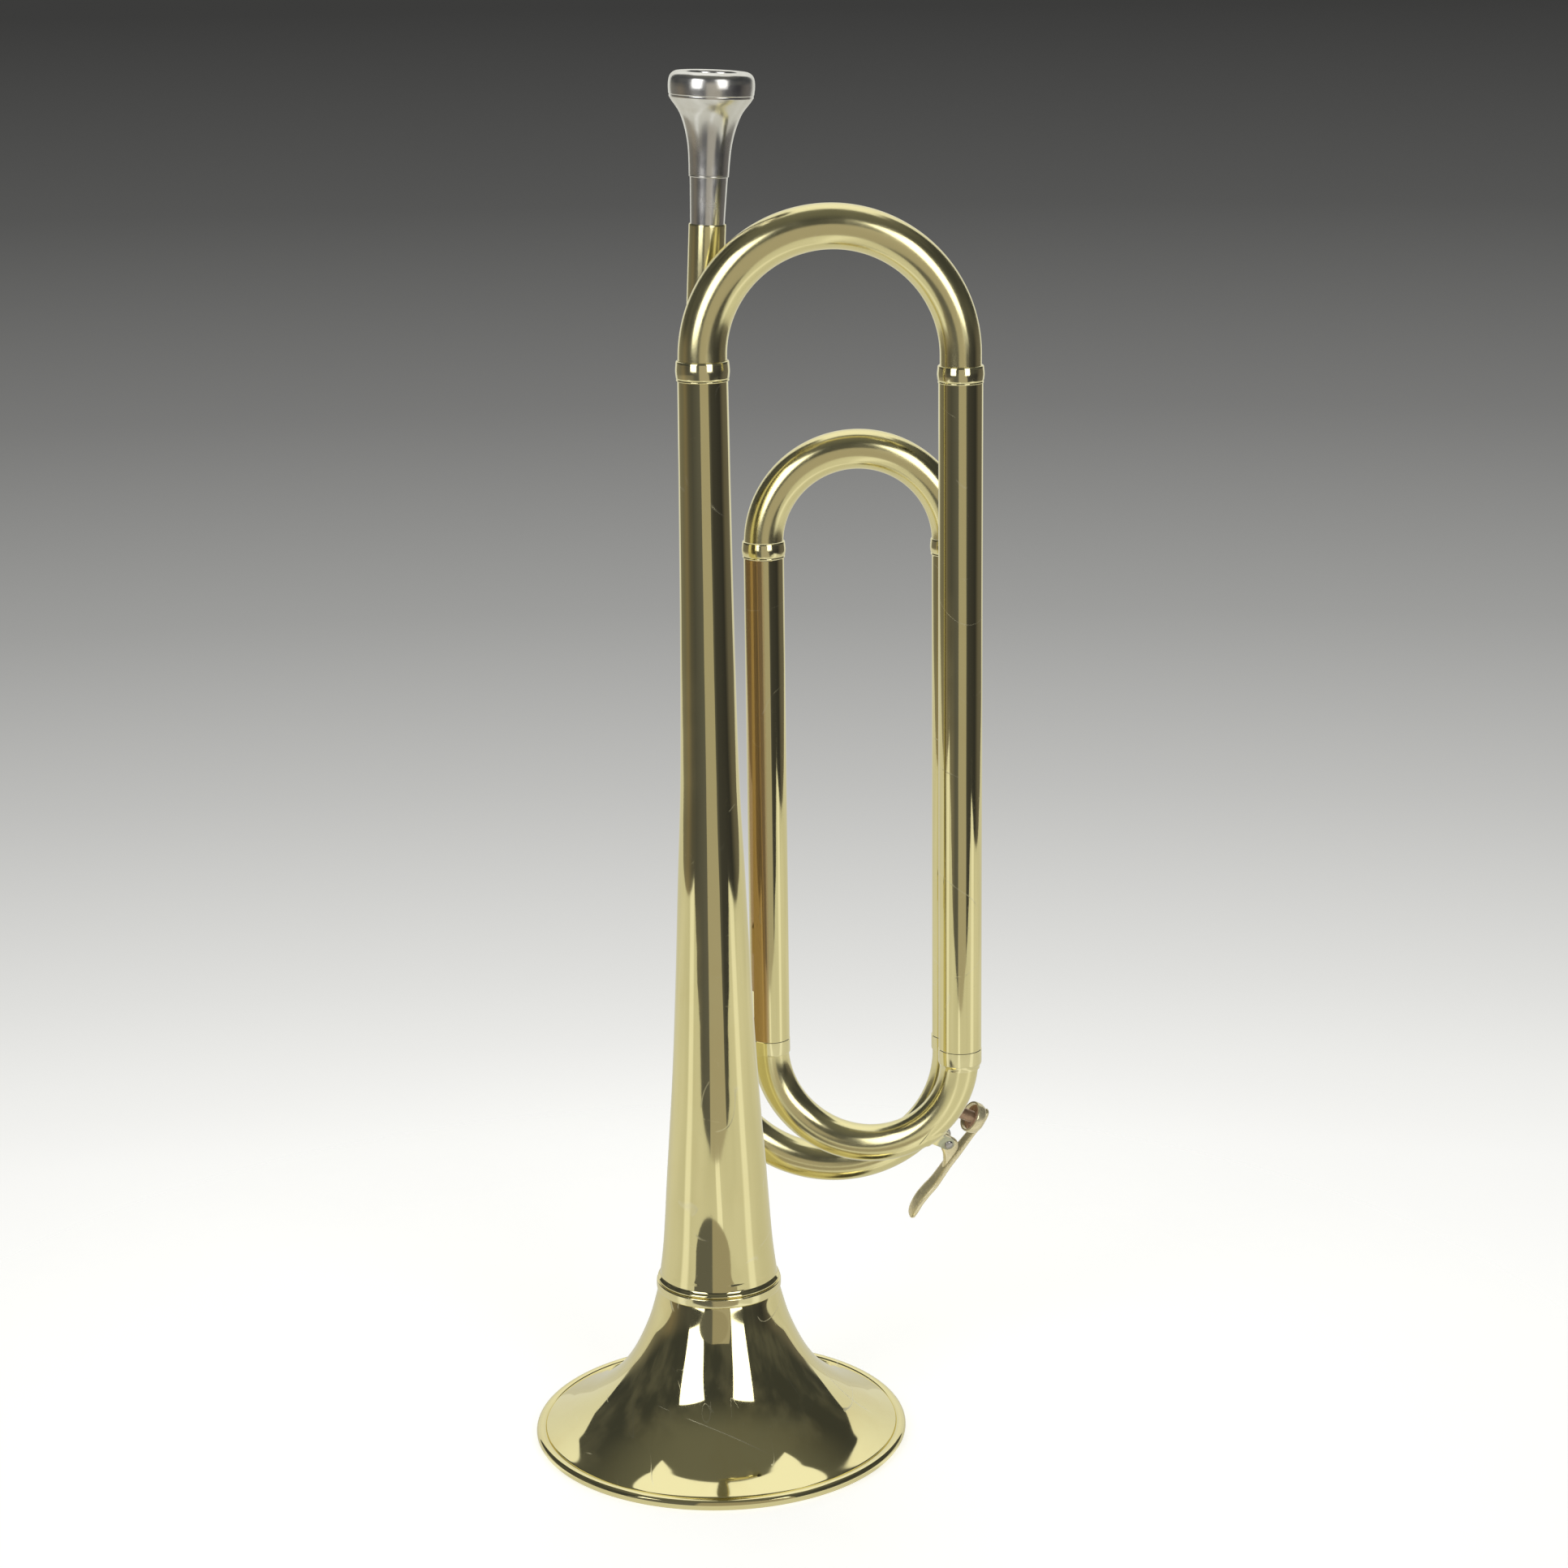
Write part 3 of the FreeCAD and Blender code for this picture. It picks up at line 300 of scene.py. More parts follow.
def cork_material():
    material, tree, shader = new_material("cork")
    place = object_coordinates(tree)
    grain = node(tree, "ShaderNodeTexVoronoi", Vector=place, Scale=1500.0)
    flecks = remap(tree, noise(tree, place, 900.0, 4.0, 0.7), 0.5, 0.68)
    color = mix_color(tree, grain.outputs["Distance"], (0.46, 0.27, 0.18), (0.62, 0.42, 0.32))
    color = mix_color(tree, flecks, color, (0.16, 0.09, 0.06))
    tree.links.new(color, shader.inputs["Base Color"])
    rough = remap(tree, grain.outputs["Distance"], 0.0, 0.8, 0.75, 0.95)
    tree.links.new(rough, shader.inputs["Roughness"])
    tree.links.new(bump(tree, grain.outputs["Distance"], 0.00015, 0.8), shader.inputs["Normal"])
    return material


MATERIALS = {
    "tube": brass_material("brass_tubes", BRASS_CLEAN, BRASS_DEEP, 0.055, wear=0.45),
    # the left inner tube carries a painted reflection of the bell's stem on its bell side
    "inner": brass_material("brass_inner_tubes", BRASS_CLEAN, BRASS_DEEP, 0.06, wear=0.45, stem_reflection=0.85),
    "bell": brass_material("brass_bell", BRASS_CLEAN, BRASS_DEEP, 0.05, wave=0.8, wear=0.85),
    "bow": brass_material("brass_bows", BRASS_CLEAN, BRASS_DEEP, 0.20, wave=0.1, wear=0.15),
    "fitting": brass_material("brass_fittings", BRASS_BRIGHT, BRASS_DEEP, 0.13, wave=0.4, wear=0.4),
    "silver": silver_material(),
    "key": worn_metal("key_metal", (0.86, 0.77, 0.50), (0.81, 0.71, 0.43), 0.25, metallic=0.6),
    "saddle": worn_metal("saddle_metal", (0.46, 0.46, 0.32), (0.30, 0.30, 0.20), 0.16,
                         centre=(0.0759, 0.0049, 0.1011), reach=0.0052),
    "nipple": worn_metal("nipple_metal", (0.46, 0.31, 0.20), (0.30, 0.19, 0.12), 0.34, metallic=0.6),
    "leg": worn_metal("nickel_silver_legs", (0.74, 0.70, 0.60), (0.62, 0.56, 0.45), 0.14),
    "steel": worn_metal("steel", (0.48, 0.46, 0.43), (0.33, 0.30, 0.27), 0.24),
    "cork": cork_material(),
}


# ------------------------------------------------------------------ mesh helpers
def add_object(name, data):
    item = bpy.data.objects.new(name, data)
    bpy.context.scene.collection.objects.link(item)
    return item


def smooth_curve(points, steps=8):
    """Catmull-Rom curve through (x, y, ...) points, as a list of tuples."""
    size = len(points[0])
    padded = [points[0]] + list(points) + [points[-1]]
    curve = []
    for index in range(len(points) - 1):
        p0, p1, p2, p3 = padded[index:index + 4]
        for step in range(steps):
            t = step / steps
            curve.append(tuple(
                0.5 * (2 * p1[k] + (p2[k] - p0[k]) * t + (2 * p0[k] - 5 * p1[k] + 4 * p2[k] - p3[k]) * t * t
                       + (3 * p1[k] - p0[k] - 3 * p2[k] + p3[k]) * t ** 3) for k in range(size)))
    return curve + [tuple(points[-1])]


def arc(centre, radius, start, end, steps=16):
    """Points on a circle in the profile plane, angles in degrees."""
    angles = [math.radians(start + (end - start) * step / steps) for step in range(steps + 1)]
    return [(centre[0] + radius * math.cos(a), centre[1] + radius * math.sin(a)) for a in angles]


def mesh_object(name, grids, sharp=35.0):
    """One object from several (rings, wrap_around_ring, wrap_along) grids of points in millimetres."""
    mesh = bpy.data.meshes.new(name)
    work = bmesh.new()
    for rings, closed_ring, closed_length in grids:
        rows = [[work.verts.new(Vector(point) * MM) for point in ring] for ring in rings]
        count = len(rows[0])
        for row in range(len(rows) if closed_length else len(rows) - 1):
            low, high = rows[row], rows[(row + 1) % len(rows)]
            for index in range(count if closed_ring else count - 1):
                after = (index + 1) % count
                work.faces.new((low[index], low[after], high[after], high[index]))
        if not closed_length:
            work.faces.new(rows[0])
            work.faces.new(rows[-1])
    bmesh.ops.remove_doubles(work, verts=work.verts, dist=1e-7)
    bmesh.ops.dissolve_degenerate(work, edges=work.edges, dist=1e-8)
    bmesh.ops.recalc_face_normals(work, faces=work.faces)
    work.to_mesh(mesh)
    work.free()
    mesh.shade_smooth()
    mesh.set_sharp_from_angle(angle=math.radians(sharp))
    return add_object(name, mesh)


def turned(profile, place=Matrix.Identity(4), segments=192):
    """A grid for a closed (radius, height) profile turned about the Z axis of a placement."""
    rings = []
    for index in range(segments):
        angle = TURN * index / segments
        rings.append([place @ Vector((r * math.cos(angle), r * math.sin(angle), z)) for r, z in profile])
    return rings, True, True


def circle(centre, first, second, radius, segments):
    """Points round a centre, from the first direction towards the second."""
    angles = [TURN * step / segments for step in range(segments)]
    return [centre + (first * math.cos(a) + second * math.sin(a)) * radius for a in angles]


def tube_grid(path, normal, outer, segments=96):
    """Grid of a hollow tube: path is a list of (point, tangent), normal is square to all tangents."""
    stations = [(point, tangent.cross(normal).normalized(), radius)
                for (point, tangent), radius in zip(path, outer)]
    rings = [circle(point, normal, side, radius, segments) for point, side, radius in stations]
    rings += [circle(point, normal, side, radius - BRASS_WALL, segments)
              for point, side, radius in reversed(stations)]
    return rings, True, True


def finish_piece(item, body, slot, material, *nodes):
    item.data.materials.append(MATERIALS[material])
    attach(item, body)
    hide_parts(*nodes)


def box_mm(name):
    low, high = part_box(name)
    return Vector(low) / MM, Vector(high) / MM


def axis_of(name):
    low, high = box_mm(name)
    middle = (low + high) / 2
    return middle.x, middle.y


def upright(name):
    """Placement on a straight tube's axis, its radius, and its lowest and highest point."""
    low, high = box_mm(name)
    return Matrix.Translation((*axis_of(name), 0)), (high.x - low.x) / 2, low.z, high.z


def placed_along(origin, axis):
    """Placement at an origin whose Z axis points along the given axis."""
    return Matrix.Translation(origin) @ Vector((0, 0, 1)).rotation_difference(axis).to_matrix().to_4x4()


def straight_tube(name, body, wall, slot="brass", material="tube"):
    place, radius, low, high = upright(name)
    edge = 0.12
    rows = 24
    profile = [(radius - edge, low), (radius, low + edge)]
    profile += [(radius, low + (high - low) * row / rows) for row in range(1, rows)]
    profile += [(radius, high - edge), (radius - edge, high), (radius - wall, high), (radius - wall, low)]
    finish_piece(mesh_object(name + "_tube", [turned(profile, place)]), body, slot, material, name)


def raised_ferrule(name, body, bore_low, bore_high, step, bulge=0.2):
    """A slightly barrelled sleeve with eased ends and a thin rolled lip at its foot."""
    place, radius, low, high = upright(name)
    side = radius - bulge
    profile = [(bore_low, low), (side - 0.35, low)]
    profile += arc((side - 0.35, low + 0.3), 0.3, -90, 30, 6)[1:]
    profile += [(side - 0.22, low + 0.62), (side - 0.05, low + 0.85)]
    middle = (low + high) / 2
    profile += smooth_curve([(side, low + 1.1), (radius - 0.03, middle), (side, high - 0.9)], 10)[1:]
    profile += arc((side - 0.55, high - 0.55), 0.55, 25, 90, 8)
    profile += [(bore_high, high), (bore_high, step), (bore_low, step)]
    finish_piece(mesh_object(name + "_sleeve", [turned(profile, place)]), body, "brass", "fitting", name)


def flush_ferrule(name, body, bore, inside, cone=0.0, spigot=True):
    """A sleeve level with the tube above it, with an eased edge on the parting line."""
    place, radius, low, high = upright(name)
    shoulder = high - 3.0 if spigot else high
    body_low = low + cone
    ease = 0.18
    profile = [(bore, low), (bore + 0.22, low)]
    if cone:
        profile += smooth_curve([(bore + 0.25, low + 0.05), (bore + 0.4, low + 0.5 * cone),
                                 (radius - 0.05, body_low)], 6)
    profile += [(radius - 0.06, body_low + 0.05), (radius, body_low + 0.3), (radius, shoulder - ease),
                (radius - ease, shoulder)]
    if spigot:
        profile += [(inside + 0.4, shoulder), (inside + 0.4, high), (inside, high)]
        profile += [(inside, low + cone + 1.5)]
    else:
        profile += [(inside, shoulder), (inside, low + 3.1)]
    profile += [(bore, profile[-1][1])]
    finish_piece(mesh_object(name + "_sleeve", [turned(profile, place)]), body, "brass", "fitting", name)


# ------------------------------------------------------------------ bows
def bow_path(left, right, height, stub_left, stub_right, upward, steps=96):
    """Half circle between two leg axes with straight stubs: (point, tangent) pairs and the plane's normal."""
    left, right = Vector((left[0], left[1], height)), Vector((right[0], right[1], height))
    centre = (left + right) / 2
    across = (right - left).normalized()
    crown = Vector((0, 0, 1 if upward else -1))
    radius = (right - left).length / 2
    path = [(left - crown * stub_left, crown)]
    for step in range(steps + 1):
        angle = math.pi * step / steps
        point = centre + (-across * math.cos(angle) + crown * math.sin(angle)) * radius
        path.append((point, across * math.sin(angle) + crown * math.cos(angle)))
    path.append((right - crown * stub_right, -crown))
    return path, across.cross(crown).normalized()


def bow(name, body, left, right, height, radii, stubs, upward):
    path, normal = bow_path(left, right, height, stubs[0], stubs[1], upward)
    last = len(path) - 3
    shares = [0.0] + [step / last for step in range(last + 1)] + [1.0]
    outer = [radii[0] + (radii[1] - radii[0]) * share for share in shares]
    grid = tube_grid(path, normal, outer)
    finish_piece(mesh_object(name + "_bent_tube", [grid]), body, "brass", "bow", name)


BELL_AXIS = (0.0, 0.0)
LEFT_INNER = axis_of("left_inner_tube")
RIGHT_INNER = axis_of("right_inner_tube")
RIGHT_OUTER = axis_of("right_outer_tube")
LEADPIPE_FOOT = (-2.0, 22.3)
FRONT_BOW_HEIGHT = 131.0


def build_bows():
    bow("large_top_bow", "horn", BELL_AXIS, RIGHT_OUTER, 362.0, (7.7, 6.55), (4.2, 6.8), True)
    bow("tuning_slide_bow", "tuning_slide", LEFT_INNER, RIGHT_INNER, 300.6, (6.3, 6.3), (2.5, 2.5), True)
    bow("rear_bottom_bow", "horn", LEADPIPE_FOOT, RIGHT_INNER, 128.5, (6.2, 6.2), (3.0, 3.0), False)
    bow("front_bottom_bow", "horn", LEFT_INNER, RIGHT_OUTER, FRONT_BOW_HEIGHT, (6.1, 6.1), (0.02, 0.02),
        False)


def build_tubes():
    for name in ("left_inner_tube", "right_inner_tube", "right_outer_tube"):
        straight_tube(name, "horn", BRASS_WALL, material="inner" if name == "left_inner_tube" else "tube")
    for side in ("left", "right"):
        leg = f"tuning_slide_{side}_leg"
        straight_tube(leg, "tuning_slide", LEG_WALL, "nickel_silver", "leg")
        leg_radius = upright(leg)[1]
        raised_ferrule(f"tuning_slide_{side}_ferrule", "tuning_slide", leg_radius + 0.03, 6.42, 297.97)
    raised_ferrule("bell_stem_ferrule", "horn", 7.94, 7.82, 357.7)
    raised_ferrule("right_outer_upper_ferrule", "horn", 7.03, 6.67, 355.1)
    flush_ferrule("left_inner_lower_ferrule", "horn", 6.22, 5.52)
    flush_ferrule("right_outer_lower_ferrule", "horn", 6.22, 6.07, cone=1.9)
    flush_ferrule("right_inner_lower_ferrule", "horn", 6.32, 6.33, spigot=False)


# ------------------------------------------------------------------ bell
FLARE_STATIONS = [
    (20.2, 51.9), (23.6, 40.0), (29.1, 28.0), (35.6, 19.0), (43.6, 12.0), (51.6, 7.0), (58.75, 3.45),
]
STEM_STATIONS = [
    (7.9, 357.6), (8.25, 312.0), (8.7, 270.0), (9.5, 227.0), (10.95, 194.0), (12.35, 160.0), (14.0, 127.5),
    (16.4, 93.5), (17.95, 70.5), (19.15, 59.5),
]


def offset(curve, distance):
    """The curve moved square to itself, towards the bell's axis."""
    moved = []
    for index, (radius, height) in enumerate(curve):
        before, after = curve[max(index - 1, 0)], curve[min(index + 1, len(curve) - 1)]
        along = Vector((after[0] - before[0], after[1] - before[1])).normalized()
        moved.append((radius + along.y * distance, height - along.x * distance))
    return moved


def build_flare():
    outside = smooth_curve(FLARE_STATIONS, 14)
    inside = offset(outside, BRASS_WALL)
    bead_centre, bead_radius = (60.3, 1.75), 1.9
    land = math.degrees(math.asin(bead_centre[1] / bead_radius))
    profile = outside + [(58.84, 3.38), (58.88, 3.05)]
    profile += arc(bead_centre, bead_radius, 140, 0, 20)
    profile += arc(bead_centre, bead_radius, 0, -land, 12)[1:]
    profile += arc(bead_centre, bead_radius, land - 180, -215, 16)
    profile += [point for point in reversed(inside) if point[0] < 58.6]
    profile += [(18.9, 51.2), (18.9, 57.0), (19.4, 57.0), (19.4, 51.9)]
    flare = mesh_object("bell_flare_spun", [turned(profile, segments=384)], 30)
    finish_piece(flare, "horn", "brass", "bell", "bell_flare")


def build_ring():
    _, _, low, high = upright("bell_ring")
    bore = 19.45
    band = [(bore, low), (20.25, low)]
    band += smooth_curve([(20.3, low + 0.02), (20.56, low + 0.2), (20.68, low + 0.6),
                          (20.74, (low + high) / 2), (20.7, high - 0.6), (20.58, high - 0.22),
                          (20.35, high - 0.03)], 8)
    band += [(20.15, high), (bore, high)]
    ring = mesh_object("bell_ring_band", [turned(band, segments=320)], 30)
    finish_piece(ring, "horn", "brass", "fitting", "bell_ring")


def build_stem():
    """The conical tail of the bell, with its foot rolled over the ring."""
    foot = 55.22
    outer = smooth_curve(STEM_STATIONS, 12)
    rolled = [(19.27, 59.0), (19.32, 58.2), (19.4, 57.4), (19.62, 56.9), (19.95, 56.5), (20.2, 56.2),
              (20.32, 55.9), (20.3, 55.65), (20.15, 55.4), (19.8, foot)]
    inner = [(radius - BRASS_WALL, height) for radius, height in reversed(outer)]
    profile = outer + smooth_curve(rolled, 4) + [(19.45, foot), (19.45, 57.3)] + inner
    stem = mesh_object("bell_stem_tapered", [turned(profile, segments=288)], 32)
    finish_piece(stem, "horn", "brass", "tube", "bell_stem")


# ------------------------------------------------------------------ leadpipe, receiver, mouthpiece
RECEIVER_MOUTH = Vector((2.1, 16.5, 401.8))
RECEIVER_AXIS = Vector((0.047, -0.003, 1.0)).normalized()
RECEIVER = placed_along(RECEIVER_MOUTH, RECEIVER_AXIS)


def build_leadpipe():
    """A very slightly bent pipe from the receiver's socket down to the rear bow, and its ferrule there."""
    top = RECEIVER @ Vector((0, 0, -23.1))
    bottom = Vector((*LEADPIPE_FOOT, 131.8))
    chord = bottom - top
    down = -RECEIVER_AXIS
    sideways = (chord - down * chord.dot(down)).normalized()
    radius = chord.dot(chord) / (2 * chord.dot(sideways))
    centre = top + sideways * radius
    spread = (top - centre).angle(bottom - centre)
    path = []
    steps = 48
    for step in range(steps + 1):
        angle = spread * step / steps
        path.append((centre - sideways * radius * math.cos(angle) + down * radius * math.sin(angle),
                     down * math.cos(angle) + sideways * math.sin(angle)))
    normal = down.cross(sideways).normalized()
    grid = tube_grid(path, normal, [5.4] * len(path), 80)
    finish_piece(mesh_object("leadpipe_drawn_tube", [grid]), "horn", "brass", "tube", "leadpipe")

    place = placed_along(bottom, -path[-1][1])
    profile = [(6.32, -2.2), (6.5, -2.2), (6.6, -2.05), (6.6, 1.5), (6.5, 1.75), (6.0, 2.9), (5.85, 3.15),
               (5.75, 3.2), (5.43, 3.2), (5.43, 0.1), (6.32, 0.1)]
    ferrule = mesh_object("leadpipe_ferrule_sleeve", [turned(profile, place)])
    finish_piece(ferrule, "horn", "brass", "fitting", "leadpipe_ferrule")


def build_receiver():
    """Sleeve with eased ends that takes the leadpipe below and the mouthpiece's shank above."""
    profile = [(5.42, 0.0), (5.7, 0.0), (5.82, -0.15), (5.85, -0.5), (5.85, -14.0), (5.85, -27.2),
               (5.8, -27.6), (5.7, -27.85), (5.5, -28.0), (5.43, -28.0), (5.43, -23.0), (4.97, -23.0),
               (4.97, -22.0)]
    receiver = mesh_object("receiver_sleeve", [turned(profile, RECEIVER)])
    finish_piece(receiver, "horn", "brass", "bow", "mouthpiece_receiver")


def build_mouthpiece():
    """Shank, bead, skirt, rim, cup and throat as one turned outline."""
    shank = [(4.2, -21.98), (4.9, -21.98), (4.95, -21.9), (5.38, 0.0), (5.53, 4.2), (5.72, 9.2), (5.93, 14.5)]
    bead = arc((5.95, 14.85), 0.34, -60, 80, 8)
    skirt = smooth_curve([(6.28, 15.3), (6.45, 19.0), (6.9, 24.1), (7.95, 29.1), (9.75, 34.0), (12.3, 37.6),
                          (13.2, 39.0)], 10)
    rim = arc((12.75, 40.1), 0.6, -50, 0, 6)
    rim += smooth_curve([(13.38, 40.5), (13.48, 41.6), (13.5, 42.6), (13.42, 43.8), (13.15, 45.0),
                         (12.6, 45.9), (11.8, 46.5)], 8)
    cup = smooth_curve([(11.3, 46.7), (10.4, 46.8), (9.4, 46.75), (8.8, 46.4), (8.5, 45.7), (8.1, 43.0),
                        (6.8, 39.0), (4.6, 35.5), (2.4, 33.2)], 6)
    throat = [(1.95, 32.4), (1.9, 31.0), (1.9, 28.0)]
    profile = shank + bead + skirt + rim + cup + throat
    piece = mesh_object("mouthpiece_turned", [turned(profile, RECEIVER, 224)], 40)
    finish_piece(piece, "mouthpiece", "silver_plate", "silver", "mouthpiece")


# ------------------------------------------------------------------ water key
def key_matrix():
    """Frame of the key: X along the bow towards the touch, Y across, Z out through the nipple."""
    left, right = Vector((*LEFT_INNER, 0)), Vector((*RIGHT_OUTER, 0))
    across = (right - left).normalized()
    rearward = Vector((-across.y, across.x, 0))
    down = Vector((0, 0, -1))
    # the nipple sits this far round the bow from its right end and this far to the rear
    angle, tilt = math.radians(33), math.radians(30)
    outward = across * math.cos(angle) + down * math.sin(angle)
    along = down * math.cos(angle) - across * math.sin(angle)
    out = outward * math.cos(tilt) + rearward * math.sin(tilt)
    origin = (left + right) / 2 + Vector((0, 0, FRONT_BOW_HEIGHT)) + outward * ((right - left).length / 2)
    basis = Matrix((along, out.cross(along), out)).transposed().to_4x4()
    return Matrix.Translation(origin) @ basis


KEY = key_matrix()
PIVOT = Vector((10.7, 0, 7.6))
# solid turned outlines end this close to their axis
ON_AXIS = 0.02
# the screw's axis, across the key
CROSSWISE = KEY @ Matrix.Translation(PIVOT) @ Matrix.Rotation(math.radians(-90), 4, "X")


def key_strip(stations, corner=3.2, around=32):
    """Rings of a rounded bar along (along, out, half width, half thickness) stations in the arm's plane."""
    curve = smooth_curve(stations, 8)
    rings = []
    for index, (x, z, half_width, half_thickness) in enumerate(curve):
        before, after = curve[max(index - 1, 0)], curve[min(index + 1, len(curve) - 1)]
        along = Vector((after[0] - before[0], 0, after[1] - before[1])).normalized()
        lift = Vector((-along.z, 0, along.x))
        ring = []
        for step in range(around):
            angle = TURN * step / around
            c, s = math.cos(angle), math.sin(angle)
            y = math.copysign(abs(c) ** (2 / corner), c) * half_width
            t = math.copysign(abs(s) ** (2 / corner), s) * half_thickness
            ring.append(KEY @ (Vector((x, y, z)) + lift * t))
        rings.append(ring)
    return rings, True, False


def build_lever():
    arm = key_strip([
        (-4.6, 14.9, 0.5, 0.2), (-3.6, 15.0, 1.6, 0.55), (-0.5, 15.05, 2.2, 0.75), (6.0, 14.85, 2.0, 0.75),
        (13.0, 14.55, 2.3, 0.90), (19.0, 14.25, 2.3, 1.0), (23.5, 14.25, 2.5, 1.0), (27.5, 14.2, 2.8, 1.0),
        (31.5, 13.65, 3.0, 1.0), (35.5, 13.4, 3.0, 1.05), (39.5, 13.85, 2.7, 1.05), (41.8, 14.4, 1.9, 0.85),
        (42.7, 14.6, 0.7, 0.35),
    ])
    web = key_strip([
        (9.2, 6.4, 1.05, 0.5), (10.6, 8.4, 1.2, 1.45), (12.4, 10.4, 1.25, 2.9), (15.0, 12.2, 1.25, 2.4),
        (19.0, 13.4, 1.2, 0.9), (22.0, 13.9, 1.0, 0.4),
    ], 2.6, 24)
    cup = [(4.5, 10.5), (4.75, 10.42), (5.1, 10.5), (5.2, 10.8), (5.2, 12.3), (5.1, 13.0), (4.8, 13.7),
           (4.2, 14.2), (3.2, 14.5), (1.6, 14.62), (ON_AXIS, 14.65), (ON_AXIS, 13.9), (4.45, 13.9)]
    barrel = [(0.85, -2.9), (1.6, -2.9), (1.75, -2.75), (1.75, -1.2), (1.62, -1.0), (1.75, -0.8), (1.75, 0.8),
              (1.62, 1.0), (1.75, 1.2), (1.75, 2.75), (1.6, 2.9), (0.85, 2.9)]
    grids = [arm, web, turned(cup, KEY, 96), turned(barrel, CROSSWISE, 64)]
    lever = mesh_object("water_key_cast_lever", grids, 40)
    finish_piece(lever, "water_key", "nickel_silver", "key", "water_key_lever")


def build_cork_pad():
    low, high = 11.37, 13.85
    outline = [(ON_AXIS, low), (3.9, low), (4.25, 11.45), (4.42, 11.75), (4.44, high), (ON_AXIS, high)]
    pad = mesh_object("water_key_cork_pad", [turned(outline, KEY, 72)], 50)
    finish_piece(pad, "water_key", "cork", "cork", "water_key_cork")


def build_pivot_screw():
    head, tip = -4.0, 4.4
    outline = [(ON_AXIS, head), (ON_AXIS, head - 0.62), (0.45, head - 0.64), (0.9, head - 0.6),
               (1.25, head - 0.48), (1.45, head - 0.25), (1.5, head - 0.05), (1.5, head)]
    outline += [(0.79, head), (0.79, tip - 0.2), (0.65, tip), (ON_AXIS, tip)]
    screw = mesh_object("water_key_screw_turned", [turned(outline, CROSSWISE, 64)], 40)
    finish_piece(screw, "horn", "steel", "steel", "water_key_pivot_screw")


def build_spring():
    """The coil stays on the barrel; the leg under the arm goes with the key."""
    turns, steps = 3, 144
    pitch, coil_radius, wire_radius = 0.42, 2.15, 0.25
    axis = Vector((0, 1, 0))
    rings = []
    for step in range(steps + 1):
        angle = TURN * turns * step / steps
        across = 1.5 + pitch * turns * step / steps
        radial = Vector((math.cos(angle), 0, math.sin(angle)))
        centre = PIVOT + Vector((0, across, 0)) + radial * coil_radius
        rings.append([KEY @ point for point in circle(centre, radial, axis, wire_radius, 10)])
    coil = mesh_object("water_key_spring_coil", [(rings, True, False)], 60)
    finish_piece(coil, "horn", "steel", "steel", "water_key_spring")

    start, end = PIVOT + Vector((1.6, 1.55, 1.4)), PIVOT + Vector((7.9, 1.55, 5.2))
    lift = (end - start).normalized().cross(axis)
    centres = [start + (end - start) * share for share in (0, 0.2, 0.4, 0.6, 0.8, 1.0)]
    rings = [[KEY @ point for point in circle(centre, axis, lift, wire_radius, 10)] for centre in centres]
    leg = mesh_object("water_key_spring_leg", [(rings, True, False)], 60)
    finish_piece(leg, "water_key", "steel", "steel", "water_key_spring")


def keep_out_of_reflections():
    """The loops and the key, right over the polished flare, would draw dark tangles in it."""
    over_the_flare = ("rear_bottom_bow", "front_bottom_bow", "left_inner", "right_", "tuning_slide",
                      "inner_tube_brace", "leadpipe", "water_key")
    for item in bpy.data.objects:
        if item.name.startswith(over_the_flare):
            item.visible_glossy = False


def paint_kept_nodes():
    """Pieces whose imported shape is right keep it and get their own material."""
    kept = {
        "bell_rim_wire": "fitting", "water_key_nipple": "nipple", "water_key_saddle": "saddle",
        "bell_brace_upper": "fitting", "bell_brace_lower": "fitting", "inner_tube_brace": "fitting",
        "right_brace_upper": "fitting", "right_brace_lower": "fitting",
    }
    for name, material in kept.items():
        item = frame["nodes"][name]
        for slot in item.material_slots:
            slot.material = MATERIALS[material]


# ------------------------------------------------------------------ stage, light and camera
def room_by_heading(tree, x, y):
    """What stands round the horn at its own height: a dark room, and the pale sweep behind."""
    ramp = tree.nodes.new("ShaderNodeValToRGB")
    turn = math_node(tree, "DIVIDE", math_node(tree, "ARCTAN2", x, times(tree, y, -1.0)), TURN)
    tree.links.new(plus(tree, turn, 0.5), ramp.inputs[0])
    stops = [
        (-180, PALE_SWEEP), (-143, PALE_SWEEP), (-138, (0.22, 0.21, 0.18)), (-110, (0.17, 0.16, 0.14)),
        (-88, (0.20, 0.17, 0.13)), (-70, (0.10, 0.095, 0.09)), (-52, (0.08, 0.08, 0.085)),
        (-18, (0.12, 0.12, 0.125)), (26, (0.12, 0.12, 0.12)), (36, (0.055, 0.055, 0.06)),
        (80, (0.035, 0.035, 0.04)), (100, (0.13, 0.12, 0.11)), (136, (0.16, 0.15, 0.14)),
        (141, PALE_SWEEP), (180, PALE_SWEEP),
    ]
    place_stops(ramp, [((heading + 180) / 360, color) for heading, color in stops])
    return ramp.outputs[0]


def place_stops(ramp, stops):
    elements = ramp.color_ramp.elements
    elements[0].position, elements[1].position = stops[0][0], stops[-1][0]
    for position, _ in stops[1:-1]:
        elements.new(position)
    for element, (_, color) in zip(elements, stops):
        element.color = (*color, 1.0)


